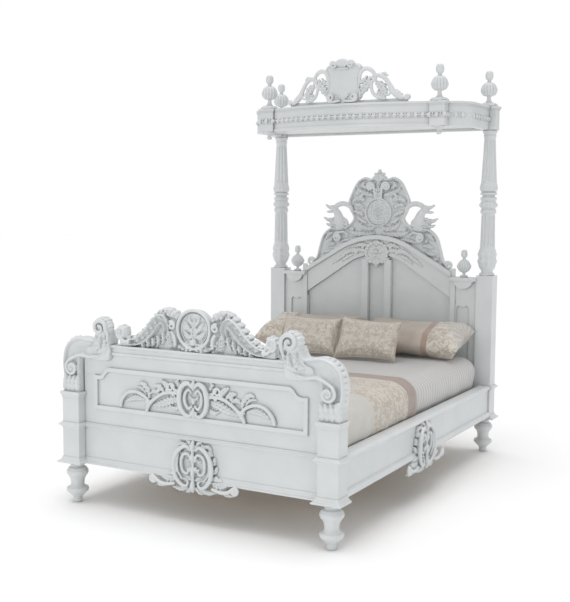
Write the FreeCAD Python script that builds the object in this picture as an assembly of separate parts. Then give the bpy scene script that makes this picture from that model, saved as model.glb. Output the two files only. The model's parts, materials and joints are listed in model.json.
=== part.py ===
import FreeCAD, Part
import math
import os

from FreeCAD import Vector

# A dolls' house half tester bed at one twelfth of full size, in millimetres.
# The origin is on the floor at the centre of the bed, +Z is up, the footboard
# faces -Y and the headboard stands at +Y.

# ---------------------------------------------------------------- driving sizes
POST_X = 60.0                  # centre of each leg and post from the middle
POST_Y = 86.8
POST_HALF_X = 4.27
POST_HALF_Y = 3.83
LEG_TOP = 17.3                 # underside of the base moulding
MID_MOULDING = 33.1            # underside of the moulding at mattress rail height
FOOT_POST_TOP = 47.5
HEAD_POST_TOP = 90.6
MOULDING_OUT = 1.37            # how far the mid moulding stands out of a post or board
BASE_OUT = 1.9                 # the same for the base moulding

RAIL_OUTER = 63.3
RAIL_INNER = 58.8
RAIL_BOTTOM = 18.8
RAIL_TOP = 34.6

BOARD_FRONT = -86.5            # front face of the footboard panels
CREST_RAIL_TOP = 68.1          # the footboard's carved crest stands on this
SHOULDER_TOP = 62.4            # footboard panel height under the corner scrolls

HEAD_FRONT = 84.5              # front face of the headboard's frame
HEAD_FRAME_BACK = 86.5
HEAD_BACK = 88.8
SHELF_TOP = 89.3
SHELF_FRONT = 81.6
OUTER_ARCH = (110.0, 20.0, 104.6, 42.0)   # crown z, end of the arc x and z, foot x
INNER_ARCH = (99.8, 17.0, 94.7, 41.4)

CANOPY_BOTTOM = 163.4
CANOPY_RAIL_TOP = 173.2
CANOPY_TOP = 175.0
CANOPY_FRONT = 48.3            # ends of the front rail, where it meets the corner blocks
CANOPY_BOW = 8.5               # how far the middle of the front rail bows forward
CANOPY_SIDE = 60.4             # outer face of the canopy's sides near the head
CANOPY_BACK = 89.2
CANOPY_WALL = 3.2
BLOCK_X = 46.6                 # front corner blocks, and their pendants and finials
BLOCK_Y = 50.2
BLOCK_HALF = 3.8
HEAD_BLOCK_HALF = 3.8

MATTRESS_HALF_X = 56.6
MATTRESS_FOOT = -81.2
MATTRESS_HEAD = 80.6
MATTRESS_BOTTOM = 30.0
MATTRESS_TOP = 49.6
SHEET = 0.35                   # cloth thickness of the fitted sheet
RUNNER = 0.45
SLAT_TOP = 29.7
SLAT_COUNT = 9

POST_INNER_X = POST_X - POST_HALF_X
POST_INNER_Y = POST_Y - POST_HALF_Y
SIDES = (("left", -1), ("right", 1))


# ---------------------------------------------------------------- shape helpers
def block(x_range, y_range, z_range):
    """A rectangular block from its ranges along X, Y and Z."""
    size = [high - low for low, high in (x_range, y_range, z_range)]
    corner = Vector(x_range[0], y_range[0], z_range[0])
    return Part.makeBox(size[0], size[1], size[2], corner)


def mirrored(shape):
    """The same shape on the other side of the bed's middle plane."""
    return shape.mirror(Vector(0, 0, 0), Vector(1, 0, 0))


def on_side(shape, sign):
    return shape if sign > 0 else mirrored(shape)


def joined(shapes):
    """One clean solid from shapes that touch or overlap."""
    return shapes[0].multiFuse(shapes[1:]).removeSplitter()


def less(shape, *others):
    """The shape with every other shape's volume taken out of it."""
    for other in others:
        shape = shape.cut(other)
    return shape


def largest_solid(shape):
    return max(shape.Solids, key=lambda solid: solid.Volume)


def drawn_edges(steps):
    """Edges through steps of (a, b), a straight line, or (a1, b1, a2, b2), an arc."""
    points = [Vector(steps[0][0], steps[0][1], 0)]
    edges = []
    for step in steps[1:]:
        end = Vector(step[-2], step[-1], 0)
        if len(step) == 2:
            edges.append(Part.makeLine(points[-1], end))
        else:
            middle = Vector(step[0], step[1], 0)
            edges.append(Part.Arc(points[-1], middle, end).toShape())
        points.append(end)
    return edges


def stood_up(shape):
    """Turn a drawing from the XY plane into the XZ plane."""
    shape.rotate(Vector(0, 0, 0), Vector(1, 0, 0), 90)
    return shape


def turned(x, y, steps):
    """A lathe-turned piece: steps run from the bottom of the axis to its top as (r, z)."""
    face = Part.Face(Part.Wire(drawn_edges(steps + [steps[0]])))
    solid = stood_up(face).revolve(Vector(0, 0, 0), Vector(0, 0, 1), 360)
    solid.translate(Vector(x, y, 0))
    return solid


def board(steps, y_front, y_back):
    """A flat board from a closed outline of (x, z) steps, between two Y planes."""
    face = stood_up(Part.Face(Part.Wire(drawn_edges(steps + [steps[0]]))))
    solid = face.extrude(Vector(0, y_back - y_front, 0))
    solid.translate(Vector(0, y_front, 0))
    return solid


def carving(points, y_front, y_back):
    """A carved plate whose outline is a smooth closed curve through (x, z) points."""
    curve = Part.BSplineCurve()
    curve.interpolate([Vector(x, 0, z) for x, z in points], PeriodicFlag=True)
    face = Part.Face(Part.Wire(curve.toShape()))
    solid = face.extrude(Vector(0, y_back - y_front, 0))
    solid.translate(Vector(0, y_front, 0))
    return solid


def both_halves(points):
    """A symmetric outline from its right half, given from the top down."""
    return points + [(-x, z) for x, z in reversed(points) if x > 0]


def oval(x, z, half_x, half_z, y_front, y_back):
    """An upright oval plate."""
    steps = [(x + half_x * math.cos(a), z + half_z * math.sin(a))
             for a in [math.radians(45 * k) for k in range(8)]]
    return carving(steps, y_front, y_back)


def disc(x, z, radius, y_front, y_back):
    """A round boss whose axis runs along Y."""
    return Part.makeCylinder(radius, y_back - y_front, Vector(x, y_front, z), Vector(0, 1, 0))


def carved_stem(points, widths, y_front, y_back):
    """A curling stem: a smooth line through (x, z) points, as wide as widths say."""
    line = Part.BSplineCurve()
    line.interpolate([Vector(x, 0, z) for x, z in points])
    count = 4 * len(points)
    edges = ([], [])
    for k in range(count + 1):
        share = k / count
        at = line.FirstParameter + share * (line.LastParameter - line.FirstParameter)
        along = line.tangent(at)[0]
        place = share * (len(widths) - 1)
        low = min(int(place), len(widths) - 2)
        width = widths[low] + (place - low) * (widths[low + 1] - widths[low])
        across = Vector(-along.z, 0, along.x) * (width / 2)
        edges[0].append(line.value(at) + across)
        edges[1].append(line.value(at) - across)
    sides = []
    for edge_points in edges:
        side = Part.BSplineCurve()
        side.interpolate(edge_points)
        sides.append(side.toShape())
    ends = [Part.makeLine(edges[0][k], edges[1][k]) for k in (0, -1)]
    face = Part.Face(Part.Wire(Part.sortEdges(sides + ends)[0]))
    solid = face.extrude(Vector(0, y_back - y_front, 0))
    solid.translate(Vector(0, y_front, 0))
    return solid


def stepped_post(x, y, levels, shown):
    """A square post with mouldings: levels are (z, how far it stands out).

    shown says which of the faces -X, +X, -Y, +Y the mouldings run round."""
    parts = []
    for (z_low, out_low), (z_high, out_high) in zip(levels, levels[1:]):
        if z_low == z_high:
            continue
        rings = []
        for z, out in ((z_low, out_low), (z_high, out_high)):
            x_low = x - POST_HALF_X - out * shown[0]
            x_high = x + POST_HALF_X + out * shown[1]
            y_low = y - POST_HALF_Y - out * shown[2]
            y_high = y + POST_HALF_Y + out * shown[3]
            corners = [(x_low, y_low), (x_high, y_low), (x_high, y_high), (x_low, y_high)]
            ring = [Vector(a, b, z) for a, b in corners]
            rings.append(Part.makePolygon(ring + ring[:1]))
        parts.append(Part.makeLoft(rings, True, True))
    return joined(parts)


def arch_steps(arch, left_to_right=True):
    """An arch line: straight, an arc over the crown, then straight again."""
    crown, arc_x, arc_z, foot_x = arch
    radius = (arc_x ** 2 + (crown - arc_z) ** 2) / (2 * (crown - arc_z))
    slope = arc_x / math.sqrt(radius ** 2 - arc_x ** 2)
    foot_z = arc_z - slope * (foot_x - arc_x)
    sign = 1 if left_to_right else -1
    return [(-sign * foot_x, foot_z), (-sign * arc_x, arc_z),
            (0, crown, sign * arc_x, arc_z), (sign * foot_x, foot_z)]


def lower_arch(arch, drop, inset=0.0):
    """The same arch line further down, and narrower at its feet."""
    crown, arc_x, arc_z, foot_x = arch
    return (crown - drop, arc_x, arc_z - drop, foot_x - inset)


def soft_block(x_range, y_range, z_range, upright_round, flat_round):
    """A block with rounded upright corners and rounded top and bottom edges."""
    shape = block(x_range, y_range, z_range)
    upright = [edge for edge in shape.Edges if abs(edge.tangentAt(edge.FirstParameter).z) > 0.9]
    shape = shape.makeFillet(upright_round, upright)
    flat = [edge for edge in shape.Edges if edge.BoundBox.ZLength < 1e-6]
    return shape.makeFillet(flat_round, flat)


# ------------------------------------------------------------------- turned legs
def leg(x, y):
    return turned(x, y, [
        (0, 0), (1.8, 0), (1.95, 0.3), (1.95, 2.5), (2.25, 2.6), (3.75, 4.1),
        (4.55, 5.1, 4.35, 6.3), (3.05, 7.1, 2.85, 8.6), (3.15, 10.2, 4.05, 11.6),
        (4.6, 12.9, 4.1, 14.2), (3.7, 14.8), (2.8, 15.0), (2.65, 15.3), (2.9, 15.7),
        (2.9, 16.1), (2.6, 16.3), (2.6, LEG_TOP), (0, LEG_TOP)])


# -------------------------------------------------------------- posts and rails
BASE_LEVELS = [(LEG_TOP, BASE_OUT - 0.2), (LEG_TOP + 0.3, BASE_OUT), (LEG_TOP + 0.6, BASE_OUT),
               (LEG_TOP + 1.1, 1.0), (LEG_TOP + 1.8, 0.45), (LEG_TOP + 2.6, 0.2),
               (LEG_TOP + 2.6, 0)]
MID_LEVELS = [(MID_MOULDING - 1.1, 0), (MID_MOULDING - 0.9, 0.2), (MID_MOULDING - 0.3, 0.5),
              (MID_MOULDING + 0.1, MOULDING_OUT - 0.15), (MID_MOULDING + 0.3, MOULDING_OUT),
              (MID_MOULDING + 0.6, MOULDING_OUT), (MID_MOULDING + 1.0, 0.8),
              (MID_MOULDING + 1.5, 0.35), (MID_MOULDING + 1.5, 0)]
CAP_LEVELS = [(FOOT_POST_TOP - 2.6, 0), (FOOT_POST_TOP - 2.6, 0.25), (FOOT_POST_TOP - 1.6, 0.3),
              (FOOT_POST_TOP - 1.1, 0.7), (FOOT_POST_TOP, 0.7)]


def foot_post():
    levels = BASE_LEVELS + MID_LEVELS + CAP_LEVELS
    return stepped_post(POST_X, -POST_Y, levels, (1, 1, 1, 0))


def head_post():
    levels = BASE_LEVELS + MID_LEVELS + [(HEAD_POST_TOP, 0)]
    return stepped_post(POST_X, POST_Y, levels, (0, 1, 0, 1))


def side_rail():
    """A bed rail with its base band and cap moulding worked on its outer face."""
    steps = [(RAIL_INNER, RAIL_BOTTOM), (RAIL_OUTER + 0.9, RAIL_BOTTOM),
             (RAIL_OUTER + 1.2, RAIL_BOTTOM + 0.5), (RAIL_OUTER + 0.9, RAIL_BOTTOM + 2.3),
             (RAIL_OUTER, RAIL_BOTTOM + 2.9), (RAIL_OUTER, MID_MOULDING - 1.1),
             (RAIL_OUTER + 0.2, MID_MOULDING - 0.9), (RAIL_OUTER + 0.5, MID_MOULDING - 0.3),
             (RAIL_OUTER + 1.2, MID_MOULDING + 0.1), (RAIL_OUTER + 1.35, MID_MOULDING + 0.3),
             (RAIL_OUTER + 1.35, MID_MOULDING + 0.6), (RAIL_OUTER + 0.8, MID_MOULDING + 1.0),
             (RAIL_OUTER + 0.3, RAIL_TOP), (RAIL_INNER, RAIL_TOP)]
    return board(steps, -POST_INNER_Y, POST_INNER_Y)


def mattress_supports():
    """Ledger strips glued inside both rails, and the bearer down the middle."""
    ledgers = [block((RAIL_INNER - 2.4, RAIL_INNER), (-80, 80), (25.6, 28.1))]
    ledgers.append(mirrored(ledgers[0]))
    bearer = block((-2.2, 2.2), (-POST_INNER_Y, HEAD_FRONT), (25.6, 28.1))
    return ledgers + [bearer]


def slats():
    span = 2 * 72.0
    pitch = span / (SLAT_COUNT - 1)
    reach = RAIL_INNER - 0.4
    return [block((-reach, reach), (-72 + k * pitch - 3.4, -72 + k * pitch + 3.4), (28.1, SLAT_TOP))
            for k in range(SLAT_COUNT)]


# --------------------------------------------------------------------- footboard
def footboard_lower_panel():
    return block((-POST_INNER_X, POST_INNER_X), (BOARD_FRONT, -POST_INNER_Y),
                 (LEG_TOP, MID_MOULDING + 0.6))


def footboard_upper_panel():
    half = POST_INNER_X
    low = MID_MOULDING + 0.6
    steps = [(-half, low), (half, low), (half, SHOULDER_TOP), (41, SHOULDER_TOP), (41, 63.4),
             (-41, 63.4), (-41, SHOULDER_TOP), (-half, SHOULDER_TOP)]
    return board(steps, BOARD_FRONT, -POST_INNER_Y)


def strip_along_x(half_length, profile):
    """A straight moulding along X from a closed profile of (y, z) steps."""
    points = [Vector(-half_length, y, z) for y, z in profile]
    face = Part.Face(Part.makePolygon(points + points[:1]))
    return face.extrude(Vector(2 * half_length, 0, 0))


def footboard_mouldings():
    """The base moulding and the mid moulding between the foot posts."""
    parts = []
    for levels in (BASE_LEVELS, MID_LEVELS):
        profile = [(BOARD_FRONT, levels[0][0])]
        profile += [(BOARD_FRONT - out, z) for z, out in levels if out > 0]
        profile.append((BOARD_FRONT, levels[-1][0]))
        parts.append(strip_along_x(POST_INNER_X, profile))
    return parts


def footboard_top_rail():
    face = BOARD_FRONT
    profile = [(-POST_INNER_Y, 63.4), (face, 63.4), (face - 1.2, 64.2), (face - 1.2, 64.9),
               (face - 0.7, 65.2), (face - 0.7, 66.6), (face - 1.7, 67.3),
               (face - 1.7, CREST_RAIL_TOP), (-POST_INNER_Y, CREST_RAIL_TOP)]
    return strip_along_x(41, profile)


def footboard_panel_moulding():
    """A raised frame whose top steps up through a pair of S curves."""
    def frame_outline(inset):
        left, low = -50.0 + inset, 40.8 + inset
        side_top, top = 55.0 - inset, 58.5 - inset
        return [(left, low), (-left, low), (-left, side_top), (48.6 - inset, side_top),
                (46.3, side_top + 0.2, 44.6, side_top + 1.6),
                (43.2, top - 0.4, 40.8, top), (-40.8, top),
                (-43.2, top - 0.4, -44.6, side_top + 1.6),
                (-46.3, side_top + 0.2, -48.6 + inset, side_top), (left, side_top)]
    outer = board(frame_outline(0), BOARD_FRONT - 1.1, BOARD_FRONT)
    inner = board(frame_outline(1.7), BOARD_FRONT - 1.1, BOARD_FRONT)
    return outer.cut(inner)


def footboard_medallion():
    """An oval shield with a raised rim, on a small foot."""
    z = 77.0
    plate = oval(0, z, 8.2, 8.05, -87.8, -84.2)
    rim = oval(0, z, 8.2, 8.05, -89.0, -87.8).cut(oval(0, z, 6.5, 6.4, -89.0, -87.8))
    boss = oval(0, z, 4.2, 4.6, -88.8, -87.8)
    foot = block((-5.5, 5.5), (-88.2, -84.2), (CREST_RAIL_TOP, 71.5))
    return joined([plate, rim, boss, foot])


def footboard_crest_scroll():
    """An acanthus C scroll from the medallion down to a small volute."""
    leaf = carving([(7.6, 70.0), (7.8, 76.0), (9.2, 81.0), (12.0, 83.6), (15.2, 83.8),
                    (18.2, 81.6), (21.5, 77.6), (25.5, 73.4), (29.5, 71.2), (32.4, 72.0),
                    (33.4, 70.2), (31.0, 67.9), (24.0, 67.7), (15.0, 67.7), (9.0, 67.8)],
                   -88.0, -83.4)
    volute = disc(34.9, 73.6, 2.5, -88.4, -83.2)
    heel = block((31.0, 36.0), (-88.0, -83.4), (CREST_RAIL_TOP, 73.0))
    return joined([leaf, volute, heel])


def footboard_corner_scroll():
    """The big S scroll that rolls over the footboard's shoulder onto the post."""
    body = carving([(64.3, 47.2), (64.6, 52.0), (65.4, 57.0), (66.0, 62.0), (64.9, 66.6),
                    (61.4, 70.2), (56.6, 71.4), (52.0, 70.2), (48.9, 69.0), (47.2, 70.6),
                    (46.4, 74.0), (43.6, 75.6), (41.0, 73.4), (41.6, 69.6), (43.4, 65.8),
                    (46.4, 63.0), (51.0, 62.2), (55.4, 62.0), (56.2, 58.0), (55.9, 52.0),
                    (56.2, 47.2)], -90.2, -83.4)
    volute = disc(43.3, 75.3, 3.4, -90.6, -83.0)
    spiral = disc(59.2, 56.8, 2.9, -91.2, -90.0)
    return joined([body, volute, spiral])


def footboard_applique():
    """A pierced cartouche with a ribbon and leaf spray on each side."""
    y_back = BOARD_FRONT
    cartouche = oval(0, 49.5, 6.1, 6.7, y_back - 1.5, y_back)
    spray = carving([(5.0, 50.2), (10.0, 51.6), (16.0, 53.4), (20.0, 51.6), (25.0, 52.2),
                     (30.0, 50.4), (34.2, 49.2), (36.2, 46.4), (33.0, 47.6), (27.0, 48.8),
                     (22.6, 45.6), (19.0, 47.8), (12.0, 47.4), (5.0, 48.0)],
                    y_back - 1.0, y_back)
    return joined([cartouche, spray, mirrored(spray)])


def rocaille(y_back):
    """The shell-like cartouche with base sprays used on the front and both rails."""
    shell = carving(both_halves([(0, 32.2), (5.0, 31.2), (8.8, 27.6), (9.9, 22.6), (8.8, 17.4),
                                 (5.0, 14.2), (0, 13.2)]), y_back - 2.2, y_back)
    spray = carving([(6.0, 18.6), (10.0, 18.2), (14.5, 17.8), (18.6, 17.4), (21.4, 15.9),
                     (18.4, 14.6), (13.0, 15.0), (8.0, 14.2), (5.0, 15.4)],
                    y_back - 2.0, y_back)
    return joined([shell, spray, mirrored(spray)])


# --------------------------------------------------------------------- headboard
def headboard_back_panel():
    """The plain board behind the frame, cut to the arch."""
    half = POST_INNER_X
    arch = lower_arch(OUTER_ARCH, 1.6)
    feet = arch_steps(arch)
    steps = [(-half, LEG_TOP + 4), (half, LEG_TOP + 4), (half, 86.0), (feet[-1][0], 86.0)]
    steps += arch_steps(arch, left_to_right=False)
    steps += [(-feet[-1][0], 86.0), (-half, 86.0)]
    return board(steps, HEAD_FRAME_BACK, HEAD_BACK)


def headboard_stile():
    """An upright beside the arch, with a narrow sunk panel in its face."""
    steps = [(41.4, 22.0), (POST_INNER_X, 22.0), (POST_INNER_X, SHELF_TOP - 1.8),
             (44.6, SHELF_TOP - 1.8), (44.6, 76.0), (41.4, 76.0)]
    stile = board(steps, HEAD_FRONT, HEAD_FRAME_BACK)
    sunk = board([(45.0, 34.0), (51.8, 34.0), (51.8, 73.6), (50.6, 74.8),
                  (48.4, 74.0, 46.2, 74.8), (45.0, 73.6)], HEAD_FRONT, HEAD_FRONT + 0.9)
    return stile.cut(sunk)


def headboard_arch_rail():
    """The broad arched rail between the panels and the cap moulding."""
    outer = arch_steps(lower_arch(OUTER_ARCH, 1.6), left_to_right=False)
    inner = arch_steps(INNER_ARCH)
    steps = inner + [(44.6, 77.0), (44.6, 88.0)] + outer + [(-44.6, 88.0), (-44.6, 77.0)]
    return board(steps, HEAD_FRONT, HEAD_FRAME_BACK)


def headboard_mullions():
    """Uprights that divide the arch into a narrow middle and two wide panels, and edge them."""
    strip = block((4.8, 8.4), (HEAD_FRONT - 0.8, HEAD_FRAME_BACK), (30.0, 97.0))
    edging = block((41.7, 44.3), (HEAD_FRONT - 0.7, HEAD_FRONT), (30.0, 93.6))
    return [strip, mirrored(strip), edging, mirrored(edging)]


def headboard_arch_moulding():
    outer = arch_steps(OUTER_ARCH, left_to_right=False)
    inner = arch_steps(lower_arch(OUTER_ARCH, 2.3))
    return board(inner + outer, HEAD_FRONT - 1.7, HEAD_FRAME_BACK + 0.6)


def headboard_crest():
    """The carved board above the arch: a shell, two lobes, shoulders and tail curls."""
    y_front, y_back = 85.2, 88.2
    outline = both_halves([(0, 145.3), (2.2, 143.4), (3.2, 140.4), (4.4, 139.0), (8.2, 140.9),
                           (12.6, 138.6), (15.6, 133.3), (17.9, 127.2), (16.2, 122.6),
                           (14.6, 118.8), (17.4, 114.6), (22.0, 113.2), (28.0, 113.4),
                           (33.2, 109.6), (35.4, 103.0), (36.8, 97.6), (39.4, 96.2),
                           (39.0, 92.4), (30.0, 92.0), (14.0, 92.0)])
    curl = disc(40.1, 95.0, 2.0, y_front - 0.4, y_back)
    medallion = disc(0, 123.0, 8.0, y_front - 1.2, y_front)
    return joined([carving(outline, y_front, y_back), curl, mirrored(curl), medallion])


def headboard_cartouche():
    """The carved drop at the crown of the arch, with a spray along each side."""
    y_back = HEAD_FRONT
    shell = oval(0, 100.9, 7.0, 6.3, y_back - 1.7, y_back)
    spray = carving([(4.0, 104.4), (10.0, 103.8), (16.0, 101.6), (22.0, 97.8), (26.0, 94.2),
                     (22.6, 94.6), (17.0, 97.2), (11.0, 99.8), (5.0, 100.6)],
                    y_back - 1.0, y_back)
    return joined([shell, spray, mirrored(spray)])


def headboard_bird_scroll():
    """A pierced C scroll that ends in two leaf tips like an open beak."""
    return carving([(16.6, 125.4), (18.4, 127.3), (21.2, 127.8), (24.0, 126.2), (26.6, 123.2),
                    (30.2, 124.2), (29.2, 121.2), (26.6, 119.4), (30.6, 117.6), (28.4, 115.4),
                    (26.6, 112.4), (22.0, 111.8), (20.0, 114.4), (21.6, 116.4), (20.8, 119.4),
                    (20.4, 122.6), (22.2, 124.8), (20.6, 126.2), (18.4, 125.6)], 85.4, 88.0)


def headboard_shelf():
    """A small shelf beside the post on a bowl-shaped bracket."""
    slab = block((42.2, POST_INNER_X), (SHELF_FRONT, HEAD_BACK), (SHELF_TOP - 1.8, SHELF_TOP))
    bowl = board([(44.0, SHELF_TOP - 1.8), (45.4, 84.8, 48.9, 83.6), (52.4, 84.8, 53.8, 87.5)],
                 SHELF_FRONT + 0.3, HEAD_FRONT)
    return joined([slab, bowl])


def headboard_finial():
    return turned(48.4, 85.4, [
        (0, SHELF_TOP), (1.95, SHELF_TOP), (1.95, 90.2), (0.85, 90.6, 0.8, 91.6),
        (3.2, 92.6, 3.65, 95.1), (3.2, 97.5, 0.8, 98.3), (0.75, 99.2), (1.55, 100.1, 1.6, 101.2),
        (1.3, 102.8, 0.4, 103.3), (0, 103.3)])


def column():
    """A turned column: carved bulb, lower shaft, ringed knop and tapering upper shaft."""
    return turned(POST_X, POST_Y, [
        (0, HEAD_POST_TOP), (3.75, HEAD_POST_TOP), (3.75, 91.8), (2.9, 92.2, 2.9, 93.2),
        (4.1, 95.0, 4.35, 98.2), (4.2, 103.6), (3.7, 104.2), (3.35, 121.8), (3.9, 122.6),
        (3.9, 123.7), (3.3, 124.2), (4.0, 125.6, 3.4, 128.0), (4.0, 128.6), (4.0, 129.9),
        (3.1, 130.3), (3.1, 131.1), (4.1, 131.4), (4.1, 132.2), (3.2, 132.5), (4.2, 133.2),
        (4.2, 136.0), (2.75, 159.8), (3.0, 160.2), (3.0, 161.2), (3.5, 162.0),
        (3.5, CANOPY_BOTTOM), (0, CANOPY_BOTTOM)])


# ------------------------------------------------------------------------ canopy
def plan_face(steps, z):
    """A horizontal face at height z from a closed outline of (x, y) steps."""
    face = Part.Face(Part.Wire(drawn_edges(steps + [steps[0]])))
    face.translate(Vector(0, 0, z))
    return face


def canopy_outline(grow):
    """The canopy seen from above, bowed at the front and the sides, grown outwards by grow."""
    block_side = BLOCK_X + BLOCK_HALF + grow
    block_front = BLOCK_Y - BLOCK_HALF + 0.5 - grow
    inner = BLOCK_X - BLOCK_HALF - grow
    head_side = POST_X + HEAD_BLOCK_HALF + grow
    head_back = CANOPY_BACK + grow
    head_front = POST_Y - HEAD_BLOCK_HALF - grow
    side = CANOPY_SIDE + grow
    right = [(inner, CANOPY_FRONT - grow), (inner, block_front), (block_side, block_front),
             (block_side, 52.0 - grow), (56.9 + grow, 55.6, side - 0.7, 62.0),
             (side, head_front), (head_side, head_front), (head_side, head_back)]
    left = [(-head_side, head_back), (-head_side, head_front), (-side, head_front),
            (-side + 0.7, 62.0), (-56.9 - grow, 55.6, -block_side, 52.0 - grow),
            (-block_side, block_front), (-inner, block_front), (-inner, CANOPY_FRONT - grow)]
    return right + left


def canopy_face(grow, z):
    outline = canopy_outline(grow)
    crown = (0, CANOPY_FRONT - CANOPY_BOW - grow) + outline[0]
    face = Part.Face(Part.Wire(drawn_edges(outline + [crown])))
    face.translate(Vector(0, 0, z))
    return face


def canopy_slab(grow, z_low, z_high):
    return canopy_face(grow, z_low).extrude(Vector(0, 0, z_high - z_low))


def bowed_wall(half_length, y_range, z_range):
    """A wall that follows the bow of the canopy's front; y_range is set back from it."""
    near, far = [CANOPY_FRONT + y for y in y_range]
    rail_half = BLOCK_X - BLOCK_HALF
    outline = [(-rail_half, near), (0, near - CANOPY_BOW, rail_half, near), (rail_half, far),
               (0, far - CANOPY_BOW, -rail_half, far)]
    wall = plan_face(outline, z_range[0]).extrude(Vector(0, 0, z_range[1] - z_range[0]))
    return wall.common(block((-half_length, half_length), (0, 100), z_range))


def canopy_front_rail():
    half = BLOCK_X - BLOCK_HALF
    rail = bowed_wall(half, (0, CANOPY_WALL), (CANOPY_BOTTOM, CANOPY_RAIL_TOP))
    bead = bowed_wall(half, (-0.5, 0), (CANOPY_BOTTOM, CANOPY_BOTTOM + 1.3))
    return joined([rail, bead])


def canopy_front_block():
    """A square corner block with a turned drop under it."""
    y_front = BLOCK_Y - BLOCK_HALF + 0.5
    cube = block((BLOCK_X - BLOCK_HALF, BLOCK_X + BLOCK_HALF), (y_front, BLOCK_Y + BLOCK_HALF),
                 (CANOPY_BOTTOM, CANOPY_RAIL_TOP))
    drop = turned(BLOCK_X, BLOCK_Y, [
        (0, 159.4), (0.4, 159.4), (1.05, 159.7, 1.3, 160.4), (0.9, 161.2), (2.2, 162.4), (3.4, 162.9),
        (3.4, CANOPY_BOTTOM), (0, CANOPY_BOTTOM)])
    return joined([cube, drop])


def canopy_side():
    """The bowed side of the canopy, from the front block to the block over the post."""
    y_back = POST_Y - HEAD_BLOCK_HALF
    side = CANOPY_SIDE
    outline = [(50.4, 52.0), (56.9, 55.6, side - 0.7, 62.0), (side, y_back),
               (side - CANOPY_WALL, y_back), (side - 0.7 - CANOPY_WALL, 63.0),
               (54.4, 57.6, 48.0, 54.4), (48.0, 52.0)]
    face = plan_face(outline, CANOPY_BOTTOM)
    return face.extrude(Vector(0, 0, CANOPY_RAIL_TOP - CANOPY_BOTTOM))


def canopy_back_rail():
    """The rail across the back with the two blocks that sit on the columns."""
    y_back = CANOPY_BACK
    height = (CANOPY_BOTTOM, CANOPY_RAIL_TOP)
    half = HEAD_BLOCK_HALF
    rail = block((-POST_X, POST_X), (y_back - CANOPY_WALL, y_back), height)
    cap = block((POST_X - half, POST_X + half), (POST_Y - half, y_back), height)
    return joined([rail, cap, mirrored(cap)])


def canopy_bead_band():
    """The carved band half way up the front, the corner blocks and the sides."""
    z_low, z_high = 167.4, 169.6
    ring = canopy_slab(0.7, z_low, z_high).cut(canopy_slab(0, z_low, z_high))
    keep = block((-80, 80), (30, POST_Y - HEAD_BLOCK_HALF - 0.8), (z_low, z_high))
    return ring.common(keep)


def canopy_cornice():
    """The top board, its edge moulded in two steps."""
    lower = canopy_slab(0.3, CANOPY_RAIL_TOP, CANOPY_RAIL_TOP + 0.7)
    upper = canopy_slab(0.7, CANOPY_RAIL_TOP + 0.7, CANOPY_TOP)
    return joined([lower, upper])


def canopy_ceiling(frame_parts):
    """The soffit board let in between the rails, a little above their undersides."""
    z_low, z_high = 164.6, 166.2
    return largest_solid(less(canopy_slab(-0.4, z_low, z_high), *frame_parts))


def canopy_finial(x, y):
    return turned(x, y, [
        (0, CANOPY_TOP), (3.9, CANOPY_TOP), (3.9, 176.0), (2.9, 176.9), (1.3, 177.4, 0.85, 179.4),
        (1.0, 180.1), (3.4, 180.9, 4.05, 183.2), (3.4, 185.5, 1.0, 186.5), (0.85, 187.8),
        (1.7, 189.0, 1.85, 190.5), (1.4, 192.0, 0.4, 192.4), (0, 192.4)])


def on_the_bow(shape, setback, thickness):
    """Only what a bowed wall of this setback and thickness holds of the shape."""
    return shape.common(bowed_wall(40, (setback, setback + thickness), (CANOPY_TOP, 200)))


def canopy_crest_cartouche():
    """The shield on its long bowed base, with a shell above it."""
    deep = (30, 60)
    base = bowed_wall(32.0, (1.2, 4.4), (CANOPY_TOP, 177.0))
    shield = carving(both_halves([(0, 196.8), (4.6, 196.2), (7.4, 194.4), (8.6, 191.8),
                                  (7.4, 187.6), (7.6, 184.0), (9.2, 180.2), (8.4, 176.6),
                                  (4.0, 175.6), (0, 175.4)]), *deep)
    shell = carving(both_halves([(0, 196.4), (4.0, 196.0), (6.6, 194.2), (4.8, 191.6),
                                 (0, 190.8)]), *deep)
    return joined([base, on_the_bow(shield, 0.4, 3.4), on_the_bow(shell, -0.2, 0.6)])


def canopy_crest_scroll():
    """Open scrollwork that follows the bow from the shield down to the end of its base."""
    deep = (30, 60)
    crown = carved_stem([(6.6, 187.0), (8.6, 190.4), (12.0, 192.0), (15.2, 190.6), (16.6, 187.6)],
                        [1.6, 1.9, 1.9, 1.6, 1.4], *deep)
    sweep = carved_stem([(15.0, 188.2), (19.0, 187.8), (22.6, 184.8), (25.6, 180.6),
                         (28.6, 177.6), (31.8, 177.0)], [1.8, 1.9, 2.0, 2.6, 2.4, 1.8], *deep)
    hook = carved_stem([(16.0, 187.6), (15.0, 183.6), (16.4, 179.8), (19.8, 177.4),
                        (24.0, 176.4)], [1.8, 1.8, 1.9, 2.0, 1.6], *deep)
    leaf = carving([(7.6, 182.6), (10.6, 183.2), (13.0, 185.8), (15.8, 187.2), (15.2, 183.6),
                    (12.0, 181.2), (8.4, 179.6)], *deep)
    curl = carved_stem([(20.0, 177.0), (19.2, 180.2), (20.8, 183.4), (23.6, 182.4)],
                       [2.0, 1.8, 1.8, 1.6], *deep)
    knob = disc(32.0, 177.0, 1.5, *deep)
    return on_the_bow(joined([crown, sweep, hook, leaf, curl, knob]), 1.0, 2.2)


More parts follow.
